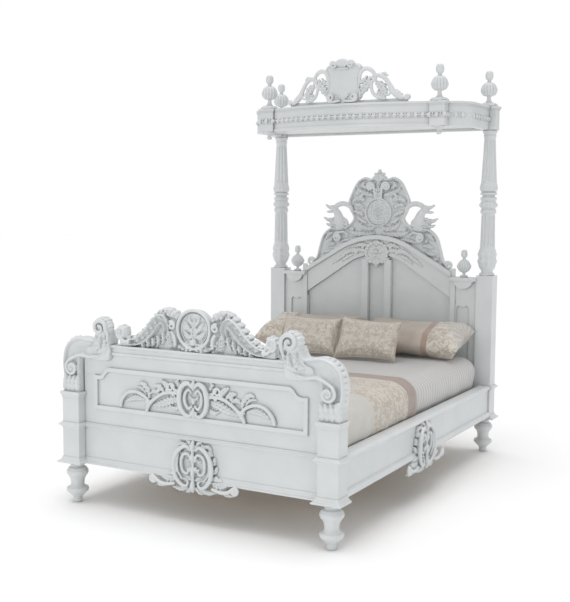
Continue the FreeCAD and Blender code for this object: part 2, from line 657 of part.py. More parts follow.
# ------------------------------------------------------------------------ dowels
def dowels():
    """Wooden pegs that hold the turned parts, the rails and the canopy together."""
    pegs = []
    for sign_x in (-1, 1):
        for sign_y in (-1, 1):
            pegs.append(Part.makeCylinder(1.0, 7.0, Vector(sign_x * POST_X, sign_y * POST_Y, 14.0)))
            rail_start = Vector(sign_x * 61.05, sign_y * (POST_INNER_Y - 3.0), 27.0)
            pegs.append(Part.makeCylinder(0.9, 6.0, rail_start, Vector(0, sign_y, 0)))
        for z_low, height in ((87.6, 6.0), (160.4, 6.0)):
            pegs.append(Part.makeCylinder(1.2, height, Vector(sign_x * POST_X, POST_Y, z_low)))
    return pegs


# ----------------------------------------------------------------------- bedding
def mattress():
    return soft_block((-MATTRESS_HALF_X, MATTRESS_HALF_X), (MATTRESS_FOOT, MATTRESS_HEAD),
                      (MATTRESS_BOTTOM, MATTRESS_TOP), 5.0, 2.6)


def fitted_sheet():
    """Thin cloth over the mattress top and down all four sides."""
    half = MATTRESS_HALF_X + SHEET
    cover = soft_block((-half, half), (MATTRESS_FOOT - SHEET, MATTRESS_HEAD + SHEET),
                       (MATTRESS_BOTTOM, MATTRESS_TOP + SHEET), 5.0 + SHEET, 2.6 + SHEET)
    above = block((-70, 70), (-90, 90), (MATTRESS_BOTTOM + 3.4, 60))
    return cover.common(above).cut(mattress())


def bed_runner():
    """A cloth across the foot half of the bed, hanging down both sides."""
    half = MATTRESS_HALF_X + SHEET
    top = MATTRESS_TOP + SHEET

    def layer(out):
        low = MATTRESS_BOTTOM + 4.2
        side = half + out
        shoulder = top + out
        bend = 2.6 + SHEET + out
        mid = bend * (1 - math.cos(math.radians(45)))
        return [(-side, low), (-side, shoulder - bend),
                (-side + mid, shoulder - mid, -side + bend, shoulder),
                (side - bend, shoulder), (side - mid, shoulder - mid, side, shoulder - bend),
                (side, low)]
    y_range = (-75.0, -4.0)
    return board(layer(RUNNER), *y_range).cut(board(layer(0), *y_range))


def pillow():
    """A plump pillow lying at the head of the bed."""
    top = MATTRESS_TOP + SHEET
    return soft_block((1.0, 56.2), (52.6, 80.2), (top + 0.3, 67.6), 6.0, 6.0)


def cushion(sign):
    """A small flat cushion that leans back on its pillow."""
    shape = soft_block((-16.2, 16.2), (-9.9, 9.9), (-3.4, 3.4), 3.0, 3.2)
    shape.rotate(Vector(0, 0, 0), Vector(1, 0, 0), 56)
    shape.rotate(Vector(0, 0, 0), Vector(0, 0, 1), -5 if sign > 0 else 3)
    shape.translate(Vector(sign * 17.0, 39.6, 59.9))
    return shape


# ---------------------------------------------------------------------- assembly
def build():
    """Every sub-part by name, each one trimmed where it is fitted to its neighbours."""
    nodes = {}
    pegs = dowels()
    posts = []
    for side, sign in SIDES:
        nodes["leg_front_" + side] = less(leg(sign * POST_X, -POST_Y), *pegs)
        nodes["leg_back_" + side] = less(leg(sign * POST_X, POST_Y), *pegs)
        for name, shape in (("foot_post_", foot_post()), ("head_post_", head_post())):
            nodes[name + side] = less(on_side(shape, sign), *pegs)
            posts.append(on_side(shape, sign))
        nodes["side_rail_" + side] = less(on_side(side_rail(), sign), *pegs)
        ornament = rocaille(-RAIL_OUTER)
        ornament.rotate(Vector(0, 0, 0), Vector(0, 0, 1), 90)
        ornament.translate(Vector(0, -7.0, 0))
        nodes["side_cartouche_" + side] = less(on_side(ornament, sign), on_side(side_rail(), sign))

    supports = mattress_supports()
    nodes["mattress_supports"] = Part.makeCompound(supports)
    nodes["slats"] = Part.makeCompound(slats())

    mouldings = [largest_solid(less(strip, *posts)) for strip in footboard_mouldings()]
    nodes["footboard_mouldings"] = Part.makeCompound(mouldings)
    lower_panel = footboard_lower_panel()
    upper_panel = footboard_upper_panel()
    top_rail = footboard_top_rail()
    nodes["footboard_lower_panel"] = less(lower_panel, *(posts + mouldings))
    nodes["footboard_upper_panel"] = less(upper_panel, *(posts + mouldings))
    nodes["footboard_top_rail"] = top_rail
    nodes["footboard_panel_moulding"] = footboard_panel_moulding()
    medallion = footboard_medallion()
    nodes["footboard_medallion"] = less(medallion, top_rail)
    for side, sign in SIDES:
        crest = less(on_side(footboard_crest_scroll(), sign), medallion, top_rail)
        nodes["footboard_crest_scroll_" + side] = largest_solid(crest)
        corner = less(on_side(footboard_corner_scroll(), sign), top_rail, upper_panel, *posts)
        nodes["footboard_corner_scroll_" + side] = largest_solid(corner)
    nodes["footboard_applique"] = footboard_applique()
    nodes["footboard_apron_cartouche"] = less(rocaille(BOARD_FRONT), *mouldings)

    back_panel = headboard_back_panel()
    stile = headboard_stile()
    arch_rail = less(headboard_arch_rail(), stile, mirrored(stile))
    arch_moulding = less(headboard_arch_moulding(), back_panel, arch_rail, stile, mirrored(stile))
    arch_moulding = largest_solid(arch_moulding)
    shelf = headboard_shelf()
    nodes["headboard_back_panel"] = back_panel
    nodes["headboard_stile_right"] = stile
    nodes["headboard_stile_left"] = mirrored(stile)
    nodes["headboard_arch_rail"] = largest_solid(arch_rail)
    mullions = [less(mullion, arch_rail, arch_moulding) for mullion in headboard_mullions()]
    nodes["headboard_mullions"] = Part.makeCompound(mullions)
    frame = [back_panel, arch_rail, arch_moulding, stile, mirrored(stile)]
    shelves = [largest_solid(less(part, *(frame + mullions))) for part in (shelf, mirrored(shelf))]
    nodes["headboard_arch_moulding"] = arch_moulding
    nodes["headboard_shelves"] = Part.makeCompound(shelves)
    crest = largest_solid(less(headboard_crest(), *(frame + shelves)))
    nodes["headboard_crest"] = crest
    nodes["headboard_cartouche"] = less(headboard_cartouche(), *(frame + mullions))
    finials = [less(part, *frame) for part in (headboard_finial(), mirrored(headboard_finial()))]
    nodes["headboard_finials"] = Part.makeCompound(finials)
    for side, sign in SIDES:
        bird = less(on_side(headboard_bird_scroll(), sign), crest)
        nodes["headboard_bird_scroll_" + side] = largest_solid(bird)
        nodes["column_" + side] = less(on_side(column(), sign), *pegs)

    blocks = [canopy_front_block(), mirrored(canopy_front_block())]
    front_rail = canopy_front_rail()
    back_rail = canopy_back_rail()
    sides = [largest_solid(less(part, back_rail, *blocks))
             for part in (mirrored(canopy_side()), canopy_side())]
    nodes["canopy_front_rail"] = front_rail
    nodes["canopy_back_rail"] = less(back_rail, *pegs)
    nodes["canopy_front_blocks"] = Part.makeCompound(blocks)
    for (side, _), shape in zip(SIDES, sides):
        nodes["canopy_side_" + side] = shape
    nodes["canopy_ceiling"] = canopy_ceiling([front_rail, back_rail] + blocks + sides)
    nodes["canopy_cornice"] = canopy_cornice()
    nodes["canopy_bead_band"] = canopy_bead_band()
    front_finial = canopy_finial(BLOCK_X, BLOCK_Y)
    back_finial = canopy_finial(POST_X - 0.6, POST_Y - 1.5)
    nodes["canopy_finials"] = Part.makeCompound(
        [front_finial, mirrored(front_finial), back_finial, mirrored(back_finial)])
    cartouche = canopy_crest_cartouche()
    nodes["canopy_crest_cartouche"] = cartouche
    for side, sign in SIDES:
        cornice = nodes["canopy_cornice"]
        scroll = less(on_side(canopy_crest_scroll(), sign), cartouche, cornice)
        nodes["canopy_crest_scroll_" + side] = largest_solid(scroll)
    nodes["dowels"] = Part.makeCompound(pegs)

    nodes["mattress"] = mattress()
    nodes["fitted_sheet"] = fitted_sheet()
    nodes["bed_runner"] = bed_runner()
    for side, sign in SIDES:
        nodes["back_pillow_" + side] = on_side(pillow(), sign)
        nodes["front_cushion_" + side] = cushion(sign)
    return nodes


os.makedirs("parts", exist_ok=True)
for node_name, node_shape in build().items():
    if not node_shape.isValid():
        raise ValueError(node_name + " is not a valid shape")
    node_shape.exportStep("parts/" + node_name + ".step")
    print(node_name, len(node_shape.Solids), round(node_shape.Volume, 2))
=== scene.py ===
import json
import math

import bpy
import numpy as np
from mathutils import Matrix, Vector


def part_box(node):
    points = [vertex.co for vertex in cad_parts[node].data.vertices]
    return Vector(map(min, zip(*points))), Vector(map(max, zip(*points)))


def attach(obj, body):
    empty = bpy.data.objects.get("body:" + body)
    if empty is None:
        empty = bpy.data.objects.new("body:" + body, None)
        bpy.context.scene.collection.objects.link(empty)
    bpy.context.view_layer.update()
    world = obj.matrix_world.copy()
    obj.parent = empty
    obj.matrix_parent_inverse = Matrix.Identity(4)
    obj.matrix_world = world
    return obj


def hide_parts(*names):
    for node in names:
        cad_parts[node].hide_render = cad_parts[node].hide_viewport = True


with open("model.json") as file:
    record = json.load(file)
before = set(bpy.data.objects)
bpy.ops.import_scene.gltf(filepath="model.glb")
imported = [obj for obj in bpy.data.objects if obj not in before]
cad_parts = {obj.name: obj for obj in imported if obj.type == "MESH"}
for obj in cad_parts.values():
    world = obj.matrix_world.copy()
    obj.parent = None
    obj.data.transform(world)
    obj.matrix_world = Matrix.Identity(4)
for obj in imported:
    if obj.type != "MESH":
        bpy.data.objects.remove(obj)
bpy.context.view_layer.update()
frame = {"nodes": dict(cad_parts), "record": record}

# A dolls' house half tester bed in white paint, with satin and brocade bedding.
# Lengths below are in millimetres, in the frame's own axes; MM turns them into metres.
MM = 0.001
TAU = 2 * math.pi


def box_mm(node):
    """Lowest and highest corner of a CAD node, in millimetres."""
    low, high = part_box(node)
    return np.array(low) / MM, np.array(high) / MM


# ------------------------------------------------------------------ places from the frame
POST_X = float(sum(c[0] for c in box_mm("leg_front_right")) / 2)
POST_Y = float(sum(c[1] for c in box_mm("leg_back_right")) / 2)
BOARD_FRONT = float(box_mm("footboard_lower_panel")[0][1])
CREST_BACK = float(box_mm("footboard_medallion")[1][1])
RAIL_TOP_Z = float(box_mm("side_rail_right")[1][2])
CREST_FOOT_Z = float(box_mm("footboard_top_rail")[1][2])
HEAD_FRONT = float(box_mm("headboard_arch_rail")[0][1])
CANOPY_TOP = float(box_mm("canopy_cornice")[1][2])
MATTRESS_LOW, MATTRESS_HIGH = box_mm("mattress")
SHEET_LOW, SHEET_HIGH = box_mm("fitted_sheet")
RUNNER_LOW, RUNNER_HIGH = box_mm("bed_runner")
RAIL_ENDS_X = float(box_mm("canopy_front_rail")[1][0])
BLOCK_STEP = 1.4            # the canopy's corner blocks stand this far before its front rail
RAIL_FRONT_Y = float(box_mm("canopy_front_blocks")[0][1]) + BLOCK_STEP
RAIL_BOW = 8.5              # how far the front rail bows out at its middle
CORNER_SCROLL_BACK = -83.4  # planes that carvings stand on, where no node's box gives them
CREST_PLANE = 88.2
BIRD_PLANE = 88.0
RAIL_FACE = 63.1
BEDDED = 0.2                # a carving's back is sunk this deep in its board
SIDES = (("left", -1), ("right", 1))


# ------------------------------------------------------------------------ mesh building
# A shape is (points, faces). Carvings are drawn face on as (u, w, h): u along, w up and
# h out of the surface, and a placing function sets them on the bed.
def smooth_line(points, count, closed=False):
    """A smooth curve through points of any number of columns."""
    p = np.array(points, float)
    if closed:
        p = np.vstack([p[-1], p, p[0], p[1]])
        t = np.linspace(0, len(points), count, endpoint=False)
    else:
        p = np.vstack([2 * p[0] - p[1], p, 2 * p[-1] - p[-2]])
        t = np.linspace(0, len(points) - 1 - 1e-9, count)
    i = t.astype(int)
    f = (t - i)[:, None]
    a, b, c, d = p[i], p[i + 1], p[i + 2], p[i + 3]
    return 0.5 * (2 * b + (c - a) * f + (2 * a - 5 * b + 4 * c - d) * f ** 2
                  + (3 * b - a - 3 * c + d) * f ** 3)


def loops(rows, closed=False):
    """A tube from rows of closed rings: capped at both ends, or joined end to end."""
    n, m = rows.shape[:2]
    faces = []
    for i in range(n if closed else n - 1):
        k = (i + 1) % n
        for j in range(m):
            nxt = (j + 1) % m
            faces.append((i * m + j, i * m + nxt, k * m + nxt, k * m + j))
    if not closed:
        faces.append(tuple(reversed(range(m))))
        faces.append(tuple((n - 1) * m + j for j in range(m)))
    return rows.reshape(-1, 3), faces


def merged(shapes):
    """Several shapes as one."""
    points, faces, start = [], [], 0
    for p, f in shapes:
        points.append(p)
        faces += [tuple(k + start for k in face) for face in f]
        start += len(p)
    return np.vstack(points), faces


def mirrored(shape):
    points, faces = shape
    return points * (-1, 1, 1), [tuple(reversed(face)) for face in faces]


def both(shapes):
    """Shapes drawn for one side, with their mirror images."""
    return list(shapes) + [mirrored(s) for s in shapes]


def directions(line, closed=False):
    """Unit vectors across a line, in the plane of the drawing."""
    if closed:
        along = np.roll(line[:, :2], -1, 0) - np.roll(line[:, :2], 1, 0)
    else:
        along = np.gradient(line[:, :2], axis=0)
    along /= np.maximum(np.linalg.norm(along, axis=1), 1e-9)[:, None]
    return np.stack([-along[:, 1], along[:, 0]], 1)


def stem(points, depth=1.0, closed=False, count=None, sides=10):
    """A rounded stem through (u, w, width, height of its centre line) points."""
    line = smooth_line(points, count or 7 * len(points), closed)
    across = directions(line, closed)
    angle = np.linspace(0, TAU, sides, endpoint=False)
    half = np.maximum(line[:, 2], 0.1) / 2
    rows = np.zeros((len(line), sides, 3))
    out = half[:, None] * np.cos(angle)
    rows[:, :, :2] = line[:, None, :2] + across[:, None] * out[..., None]
    rows[:, :, 2] = line[:, 3, None] + depth * half[:, None] * np.sin(angle)
    return loops(rows, closed)


HOLLOW = ((-1, 0.55), (-0.97, 0.85), (-0.82, 1.0), (-0.66, 0.85), (-0.5, 0.55), (0, 0.42),
          (0.5, 0.55), (0.66, 0.85), (0.82, 1.0), (0.97, 0.85), (1, 0.55))
SHALLOW = ((-1, 0.6), (-0.97, 0.88), (-0.86, 1.0), (-0.74, 0.93), (-0.6, 0.76), (0, 0.66),
           (0.6, 0.76), (0.74, 0.93), (0.86, 1.0), (0.97, 0.88), (1, 0.6))
ROUND = ((-1, 0.3), (-0.8, 0.7), (-0.4, 0.94), (0, 1.0), (0.4, 0.94), (0.8, 0.7), (1, 0.3))


def band(points, section=HOLLOW, base=0.0, count=None):
    """A carved band through (u, w, width, height) points, its top shaped by the section."""
    line = smooth_line(points, count or 8 * len(points))
    across = directions(line)
    shape = list(section) + [(1, None), (-1, None)]
    rows = np.zeros((len(line), len(shape), 3))
    for j, (v, up) in enumerate(shape):
        rows[:, j, :2] = line[:, :2] + across * (line[:, 2] / 2 * v)[:, None]
        rows[:, j, 2] = base if up is None else base + (line[:, 3] - base) * up
    return loops(rows)


def leaf(points, lobes=5, notch=0.4, base=0.0, slant=0.09):
    """An acanthus leaf through (u, w, width, height) points: lobed edges and a sunk vein."""
    line = smooth_line(points, 9 * lobes + 6)
    across = directions(line)
    v = np.linspace(-1, 1, 13)
    s = np.linspace(0, 1, len(line))[:, None]
    lobe = np.abs(np.sin(math.pi * (lobes * (s - slant * np.abs(v)) + 0.02))) ** 0.6
    half = line[:, 2, None] / 2 * (1 - notch * (1 - lobe) * np.abs(v))
    rise = (1 - 0.5 * v ** 2) * (0.74 + 0.26 * lobe) - 0.3 * np.exp(-(v / 0.13) ** 2)
    rows = np.zeros((len(line), len(v) + 2, 3))
    rows[:, :13, :2] = line[:, None, :2] + across[:, None] * (half * v)[..., None]
    rows[:, :13, 2] = base + (line[:, 3, None] - base) * rise
    rows[:, 13, :2] = rows[:, 12, :2]
    rows[:, 14, :2] = rows[:, 0, :2]
    rows[:, 13:, 2] = base
    return loops(rows)


def curl(u, w, radius, start, turns, width, height, eye=0.28, rise=0.0):
    """Points of a volute that winds in from its outer radius; start is in degrees."""
    k = np.linspace(0, 1, max(5, int(9 * abs(turns)) + 1))
    a = math.radians(start) + TAU * turns * k
    r = radius * (1 - (1 - eye) * k)
    return [(u + ri * math.cos(ai), w + ri * math.sin(ai), width * (1 - 0.45 * ki),
             height + rise * ki) for ri, ai, ki in zip(r, a, k)]


def ball(u, w, h, radii, rings=8, sides=12):
    """An ellipsoid bead."""
    polar = np.linspace(0.12, math.pi - 0.12, rings)[:, None]
    angle = np.linspace(0, TAU, sides, endpoint=False)[None]
    ru, rw, rh = (radii,) * 3 if np.isscalar(radii) else radii
    rows = np.stack([u + ru * np.sin(polar) * np.cos(angle), w + rw * np.sin(polar) * np.sin(angle),
                     h - rh * np.cos(polar) + 0 * angle], -1)
    return loops(rows)


def plate(outline, high, base=0.0, count=None):
    """A flat plate filling a smooth closed outline of (u, w) points."""
    line = smooth_line(outline, count or 6 * len(outline), closed=True)
    rows = np.stack([np.column_stack([line, np.full(len(line), h)]) for h in (base, high)])
    return loops(rows)


def slab(u_range, w_range, h_range):
    """A plain block, which joins a carving to the wood under or beside it."""
    corners = [(u_range[0], w_range[0]), (u_range[1], w_range[0]), (u_range[1], w_range[1]),
               (u_range[0], w_range[1])]
    return loops(np.array([[(u, w, h) for u, w in corners] for h in h_range], float))


def oval(u, w, half_u, half_w, *more):
    """16 points round an oval, with any further columns added to each."""
    angles = [TAU * k / 16 for k in range(16)]
    return [(u + half_u * math.cos(a), w + half_w * math.sin(a)) + more for a in angles]


def symmetrical(outline):
    """A closed outline from its right half, which starts and ends on the middle line."""
    return outline + [(-u, w) for u, w in reversed(outline) if u > 0]


def drum(u, w, steps, sides):
    """A round boss from (height, radius) steps."""
    return loops(np.array([[(u + r * math.cos(a), w + r * math.sin(a), h)
                            for a in np.linspace(0, TAU, sides, endpoint=False)]
                           for h, r in steps]))


def fan(u, w, reach, first, last, ribs, width, height):
    """Shell ribs that spread from a point, between two angles in degrees."""
    shapes = []
    for k in range(ribs):
        a = math.radians(first + (last - first) * k / (ribs - 1))
        rib = [(u + reach * s * math.cos(a), w + reach * s * math.sin(a), width * g,
                height * g ** 0.5)
               for s, g in ((0.15, 0.35), (0.55, 0.75), (0.86, 1.0), (1.0, 0.7))]
        shapes.append(stem(rib, 0.9))
    return shapes


def rosette(u, w, radius, petals, height):
    """Petals round a bead."""
    shapes = [ball(u, w, height, (radius * 0.28, radius * 0.28, height * 0.7))]
    for k in range(petals):
        c, s = math.cos(TAU * k / petals), math.sin(TAU * k / petals)
        petal = [(u + radius * reach * c, w + radius * reach * s, radius * width, height * up)
                 for reach, width, up in ((0.15, 0.3, 0.7), (0.6, 0.62, 1.0), (1.0, 0.2, 0.5))]
        shapes.append(leaf(petal, 2))
    return shapes


def lathe(x, y, profile, sides=48, carve=None):
    """A turned piece from (r, z) points; carve(angle, z) scales the radius."""
    angle = np.linspace(0, TAU, sides, endpoint=False)
    rows = []
    for r, z in profile:
        radius = r * (carve(angle, z) if carve else np.ones(sides))
        rows.append(np.column_stack([x + radius * np.cos(angle), y + radius * np.sin(angle),
                                     np.full(sides, z)]))
    return loops(np.array(rows))


# --------------------------------------------------------------------- placing functions
def on_front(face):
    """Set a carving on a surface that faces -Y."""
    return lambda p: np.column_stack([p[:, 0], face - p[:, 2], p[:, 1]])


def on_rail(sign, face, centre):
    """Set a carving on the outside of a side rail."""
    return lambda p: np.column_stack([sign * (face + p[:, 2]), centre + sign * p[:, 0], p[:, 1]])


def on_bow(setback):
    """Set a carving upright on the canopy, along the bow of its front rail."""
    def place(p):
        bow = RAIL_FRONT_Y - RAIL_BOW * (1 - (p[:, 0] / RAIL_ENDS_X) ** 2)
        return np.column_stack([p[:, 0], bow + setback - p[:, 2], p[:, 1]])
    return place


def as_drawn(p):
    """For a carving whose points are already in the frame's axes."""
    return p


# --------------------------------------------------------------------------- materials
CHAMPAGNE, CHAMPAGNE_DARK = (0.56, 0.49, 0.42, 1), (0.46, 0.39, 0.33, 1)
CREAM = (0.70, 0.66, 0.58, 1)
BROCADE_FROM_Y, HEM_FROM_Y = -48, -13.2       # where the runner's cloths change
BAND_FROM_X, LEAVES_FROM_X = 37.6, 40.8       # where a pillow's cloths change
# The pleated tip of a pillow, whose pleats are bumped and also painted lighter and darker as
# painted light and shade.
PLEAT_CENTRE, PLEAT_REACH = (57.0, 71.0, 59.0), 12.5


class Graph:
    """One material, with short forms for making its nodes."""

    def __init__(self, name):
        self.material = bpy.data.materials.new(name)
        self.material.use_nodes = True
        self.tree = self.material.node_tree
        self.tree.nodes.clear()
        output = self.tree.nodes.new("ShaderNodeOutputMaterial")
        self.shader = self.tree.nodes.new("ShaderNodeBsdfPrincipled")
        self.tree.links.new(self.shader.outputs[0], output.inputs[0])
        self.place = self.tree.nodes.new("ShaderNodeTexCoord").outputs["Object"]

    def node(self, kind, inputs=None, **settings):
        made = self.tree.nodes.new("ShaderNode" + kind)
        for key, value in settings.items():
            setattr(made, key, value)
        for key, value in (inputs or {}).items():
            self.put(made.inputs[key], value)
        return made

    def put(self, socket, value):
        if hasattr(value, "links"):
            self.tree.links.new(value, socket)
        else:
            socket.default_value = value

    def math(self, operation, a, b=0.0, c=0.0):
        return self.node("Math", {0: a, 1: b, 2: c}, operation=operation).outputs[0]

    def axis(self, name):
        return self.node("SeparateXYZ", {0: self.place}).outputs[name]

    def scaled(self, x, y, z):
        return self.node("Mapping", {"Vector": self.place, "Scale": (x, y, z)}).outputs[0]

    def noise(self, scale, detail=3.0, roughness=0.55, vector=None):
        return self.node("TexNoise", {"Vector": vector or self.place, "Scale": scale,
                                      "Detail": detail, "Roughness": roughness}).outputs[0]

    def ramp(self, factor, stops):
        """A grey ramp from (position, value) stops."""
        made = self.node("ValToRGB", {0: factor})
        while len(made.color_ramp.elements) < len(stops):
            made.color_ramp.elements.new(0.5)
        for element, (at, value) in zip(made.color_ramp.elements, stops):
            element.position = at
            element.color = (value, value, value, 1)
        return made.outputs[0]

    def mix(self, factor, a, b):
        made = self.node("Mix", {"Factor": factor}, data_type="RGBA")
        self.put(made.inputs[6], a)
        self.put(made.inputs[7], b)
        return made.outputs[2]

    def bump(self, height, strength, distance, normal=None):
        made = self.node("Bump", {"Height": height, "Strength": strength, "Distance": distance})
        if normal:
            self.put(made.inputs["Normal"], normal)
        return made.outputs[0]

    def finish(self, colour, roughness, normal=None, **constants):
        self.put(self.shader.inputs["Base Color"], colour)
        self.put(self.shader.inputs["Roughness"], roughness)
        if normal:
            self.put(self.shader.inputs["Normal"], normal)
        for key, value in constants.items():
            self.shader.inputs[key.replace("_", " ")].default_value = value
        return self.material


def white_paint():
    """Satin antique white paint with painted shade, greyer in the hollows, and faintly brushed."""
    g = Graph("white_paint")
    # Painted shade: ambient occlusion turns the paint's colour to a warm grey in hollows, creases
    # and joints.
    hollow = g.node("AmbientOcclusion", {"Distance": 1.1 * MM}, samples=8).outputs["AO"]
    shade = g.ramp(hollow, ((0.2, 0.0), (0.85, 1.0)))
    cloud = g.ramp(g.noise(90, 2), ((0.3, 0.0), (0.7, 1.0)))
    ground = g.mix(cloud, (0.655, 0.68, 0.69, 1), (0.70, 0.72, 0.725, 1))
    colour = g.mix(shade, (0.41, 0.405, 0.385, 1), ground)
    brushed = g.noise(1, 3, vector=g.scaled(500, 500, 2600))
    fine = g.noise(4200, 2)
    normal = g.bump(fine, 0.10, 0.05 * MM, g.bump(brushed, 0.14, 0.08 * MM))
    rough = g.math("MULTIPLY_ADD", g.noise(700, 3), 0.16, 0.30)
    return g.finish(colour, rough, normal, Specular_IOR_Level=0.45, Coat_Weight=0.12,
                    Coat_Roughness=0.25)


def bare_wood():
    """Plain pale wood under the bedding and in the joints."""
    g = Graph("bare_wood")
    grain = g.noise(1, 4, vector=g.scaled(60, 2600, 2600))
    rings = g.node("TexWave", {"Vector": g.scaled(12, 260, 260), "Scale": 1.0, "Distortion": 5.0,
                               "Detail": 2.0}).outputs[1]
    tone = g.math("MULTIPLY_ADD", grain, 0.6, g.math("MULTIPLY", rings, 0.3))
    colour = g.mix(tone, (0.62, 0.44, 0.26, 1), (0.80, 0.64, 0.44, 1))
    return g.finish(colour, g.math("MULTIPLY_ADD", grain, 0.2, 0.5), g.bump(grain, 0.3, 0.1 * MM))


def weave(g, pitch, strength, depth):
    """Height of a plain weave along X+Z and Y, as two crossed waves."""
    rate = 0.5 / (pitch * MM)
    warp = g.node("TexWave", {"Vector": g.place, "Scale": rate / 10},
                  bands_direction="Y").outputs[1]
    weft = g.node("TexWave", {"Vector": g.scaled(1, 0, 1), "Scale": rate / 10},
                  bands_direction="DIAGONAL").outputs[1]
    return g.bump(g.math("MULTIPLY", warp, weft), strength, depth * MM)


def damask(g, period, scale):
    """A mirrored leafy figure: 1 on the figure, 0 on the ground."""
    parts = [g.math("PINGPONG", g.axis(a), period * MM * share)
             for a, share in (("X", 1.0), ("Y", 1.3), ("Z", 1.0))]
    folded = g.node("CombineXYZ", {k: part for k, part in enumerate(parts)}).outputs[0]
    figure = g.node("TexNoise", {"Vector": folded, "Scale": scale, "Detail": 2.5, "Roughness": 0.5,
                                 "Distortion": 1.4}).outputs[0]
    veins = g.noise(scale * 3.4, 2, vector=folded)
    height = g.math("ADD", figure, g.math("MULTIPLY", g.math("SUBTRACT", veins, 0.5), 0.35))
    return g.ramp(height, ((0.47, 0.0), (0.53, 1.0)))


def satin(name, deep, pale):
    """A plain satin weave with a soft sheen."""
    g = Graph(name)
    colour = g.mix(g.noise(160, 3), deep, pale)
    return g.finish(colour, g.math("MULTIPLY_ADD", g.noise(900), 0.2, 0.30),
                    weave(g, 0.22, 0.3, 0.05), Sheen_Weight=0.35, Sheen_Roughness=0.4,
                    Specular_IOR_Level=0.5)


def striped_sateen():
    """Ivory sateen with narrow self stripes."""
    g = Graph("ivory_sateen")
    stripe = g.node("TexWave", {"Vector": g.place, "Scale": 108.0}, bands_direction="Y").outputs[1]
    bar = g.ramp(stripe, ((0.35, 0.0), (0.65, 1.0)))
    colour = g.mix(bar, (0.49, 0.48, 0.475, 1), (0.59, 0.58, 0.575, 1))
    rough = g.math("MULTIPLY_ADD", bar, -0.18, 0.5)
    return g.finish(colour, rough, weave(g, 0.2, 0.2, 0.04), Sheen_Weight=0.25)


def raised(g, figure):
    """The bump of a woven figure on a plain weave."""
    return g.bump(figure, 0.35, 0.08 * MM, weave(g, 0.2, 0.3, 0.05))


def cushion_material():
    """Champagne brocade with a small raised leafy figure."""
    g = Graph("cushion")
    figure = damask(g, 7.0, 620)
    base = g.mix(g.noise(260, 3), (0.45, 0.39, 0.335, 1), (0.52, 0.465, 0.40, 1))
    colour = g.mix(figure, base, (0.61, 0.575, 0.51, 1))
    return g.finish(colour, g.math("MULTIPLY_ADD", figure, 0.2, 0.34), raised(g, figure),
                    Sheen_Weight=0.3, Sheen_Roughness=0.4)


def runner_material():
    """Satin at the foot, leafy brocade across the middle, a rose brown hem at the head."""
    g = Graph("runner")
    y = g.axis("Y")
    figure = damask(g, 9.0, 420)
    zone = g.math("GREATER_THAN", y, BROCADE_FROM_Y * MM)
    hem = g.math("GREATER_THAN", y, HEM_FROM_Y * MM)
    cloudy = g.noise(160, 3)
    satin_colour = g.mix(cloudy, (0.55, 0.525, 0.48, 1), (0.63, 0.61, 0.57, 1))
    ground = g.mix(cloudy, CHAMPAGNE_DARK, CHAMPAGNE)
    brocade_colour = g.mix(figure, ground, (0.62, 0.59, 0.525, 1))
    colour = g.mix(zone, satin_colour, brocade_colour)
    hem_colour = g.mix(cloudy, (0.31, 0.235, 0.205, 1), (0.40, 0.32, 0.285, 1))
    colour = g.mix(hem, colour, hem_colour)
    return g.finish(colour, g.math("MULTIPLY_ADD", g.noise(700), 0.2, 0.32),
                    raised(g, g.math("MULTIPLY", figure, zone)),
                    Sheen_Weight=0.3, Sheen_Roughness=0.4)


def pillow_material():
    """Champagne satin, a brown band, leafy brocade beyond it, and pleated satin at the tip with
    painted light and shade across its pleats.
    """
    g = Graph("pillow")
    x = g.math("ABSOLUTE", g.axis("X"))
    figure = damask(g, 9.0, 420)
    cloudy = g.noise(160, 3)
    satin_colour = g.mix(cloudy, (0.46, 0.40, 0.34, 1), (0.57, 0.51, 0.445, 1))
    band_colour = g.mix(cloudy, (0.36, 0.27, 0.22, 1), (0.45, 0.35, 0.30, 1))
    folded = g.node("CombineXYZ", {0: x, 1: g.axis("Y"), 2: g.axis("Z")}).outputs[0]
    tip = tuple(c * MM for c in PLEAT_CENTRE)
    away = g.node("VectorMath", {0: folded, 1: tip}, operation="DISTANCE").outputs["Value"]
    turn = g.math("ARCTAN2", g.math("SUBTRACT", g.axis("Y"), tip[1]),
                  g.math("SUBTRACT", g.axis("Z"), tip[2]))
    pleat = g.math("SINE", g.math("MULTIPLY", turn, 16.0))
    fan_part = g.math("LESS_THAN", away, PLEAT_REACH * MM)
    colour = g.mix(g.math("GREATER_THAN", x, BAND_FROM_X * MM), satin_colour, band_colour)
    leafy = g.mix(figure, satin_colour, CREAM)
    colour = g.mix(g.math("GREATER_THAN", x, LEAVES_FROM_X * MM), colour, leafy)
    # Painted light and shade: the pleats' colour swings from a darker to a paler satin with the
    # pleat wave, as light and shade fall across the folds.
    pale = g.mix(g.math("MULTIPLY_ADD", pleat, 0.3, 0.5), (0.50, 0.46, 0.42, 1),
                 (0.68, 0.645, 0.60, 1))
    colour = g.mix(fan_part, colour, pale)
    normal = g.bump(g.math("MULTIPLY", pleat, fan_part), 0.6, 0.35 * MM, weave(g, 0.2, 0.3, 0.05))
    return g.finish(colour, g.math("MULTIPLY_ADD", g.noise(700), 0.2, 0.34), normal,
                    Sheen_Weight=0.3, Sheen_Roughness=0.4)


MATERIALS = {
    "white_paint": white_paint(),
    "bare_wood": bare_wood(),
    "ticking": satin("ticking", (0.60, 0.58, 0.54, 1), (0.72, 0.70, 0.66, 1)),
    "ivory_sateen": striped_sateen(),
    "champagne_satin": satin("champagne_satin", CHAMPAGNE_DARK, CHAMPAGNE),
    "cushion": cushion_material(),
    "runner": runner_material(),
    "pillow": pillow_material(),
}


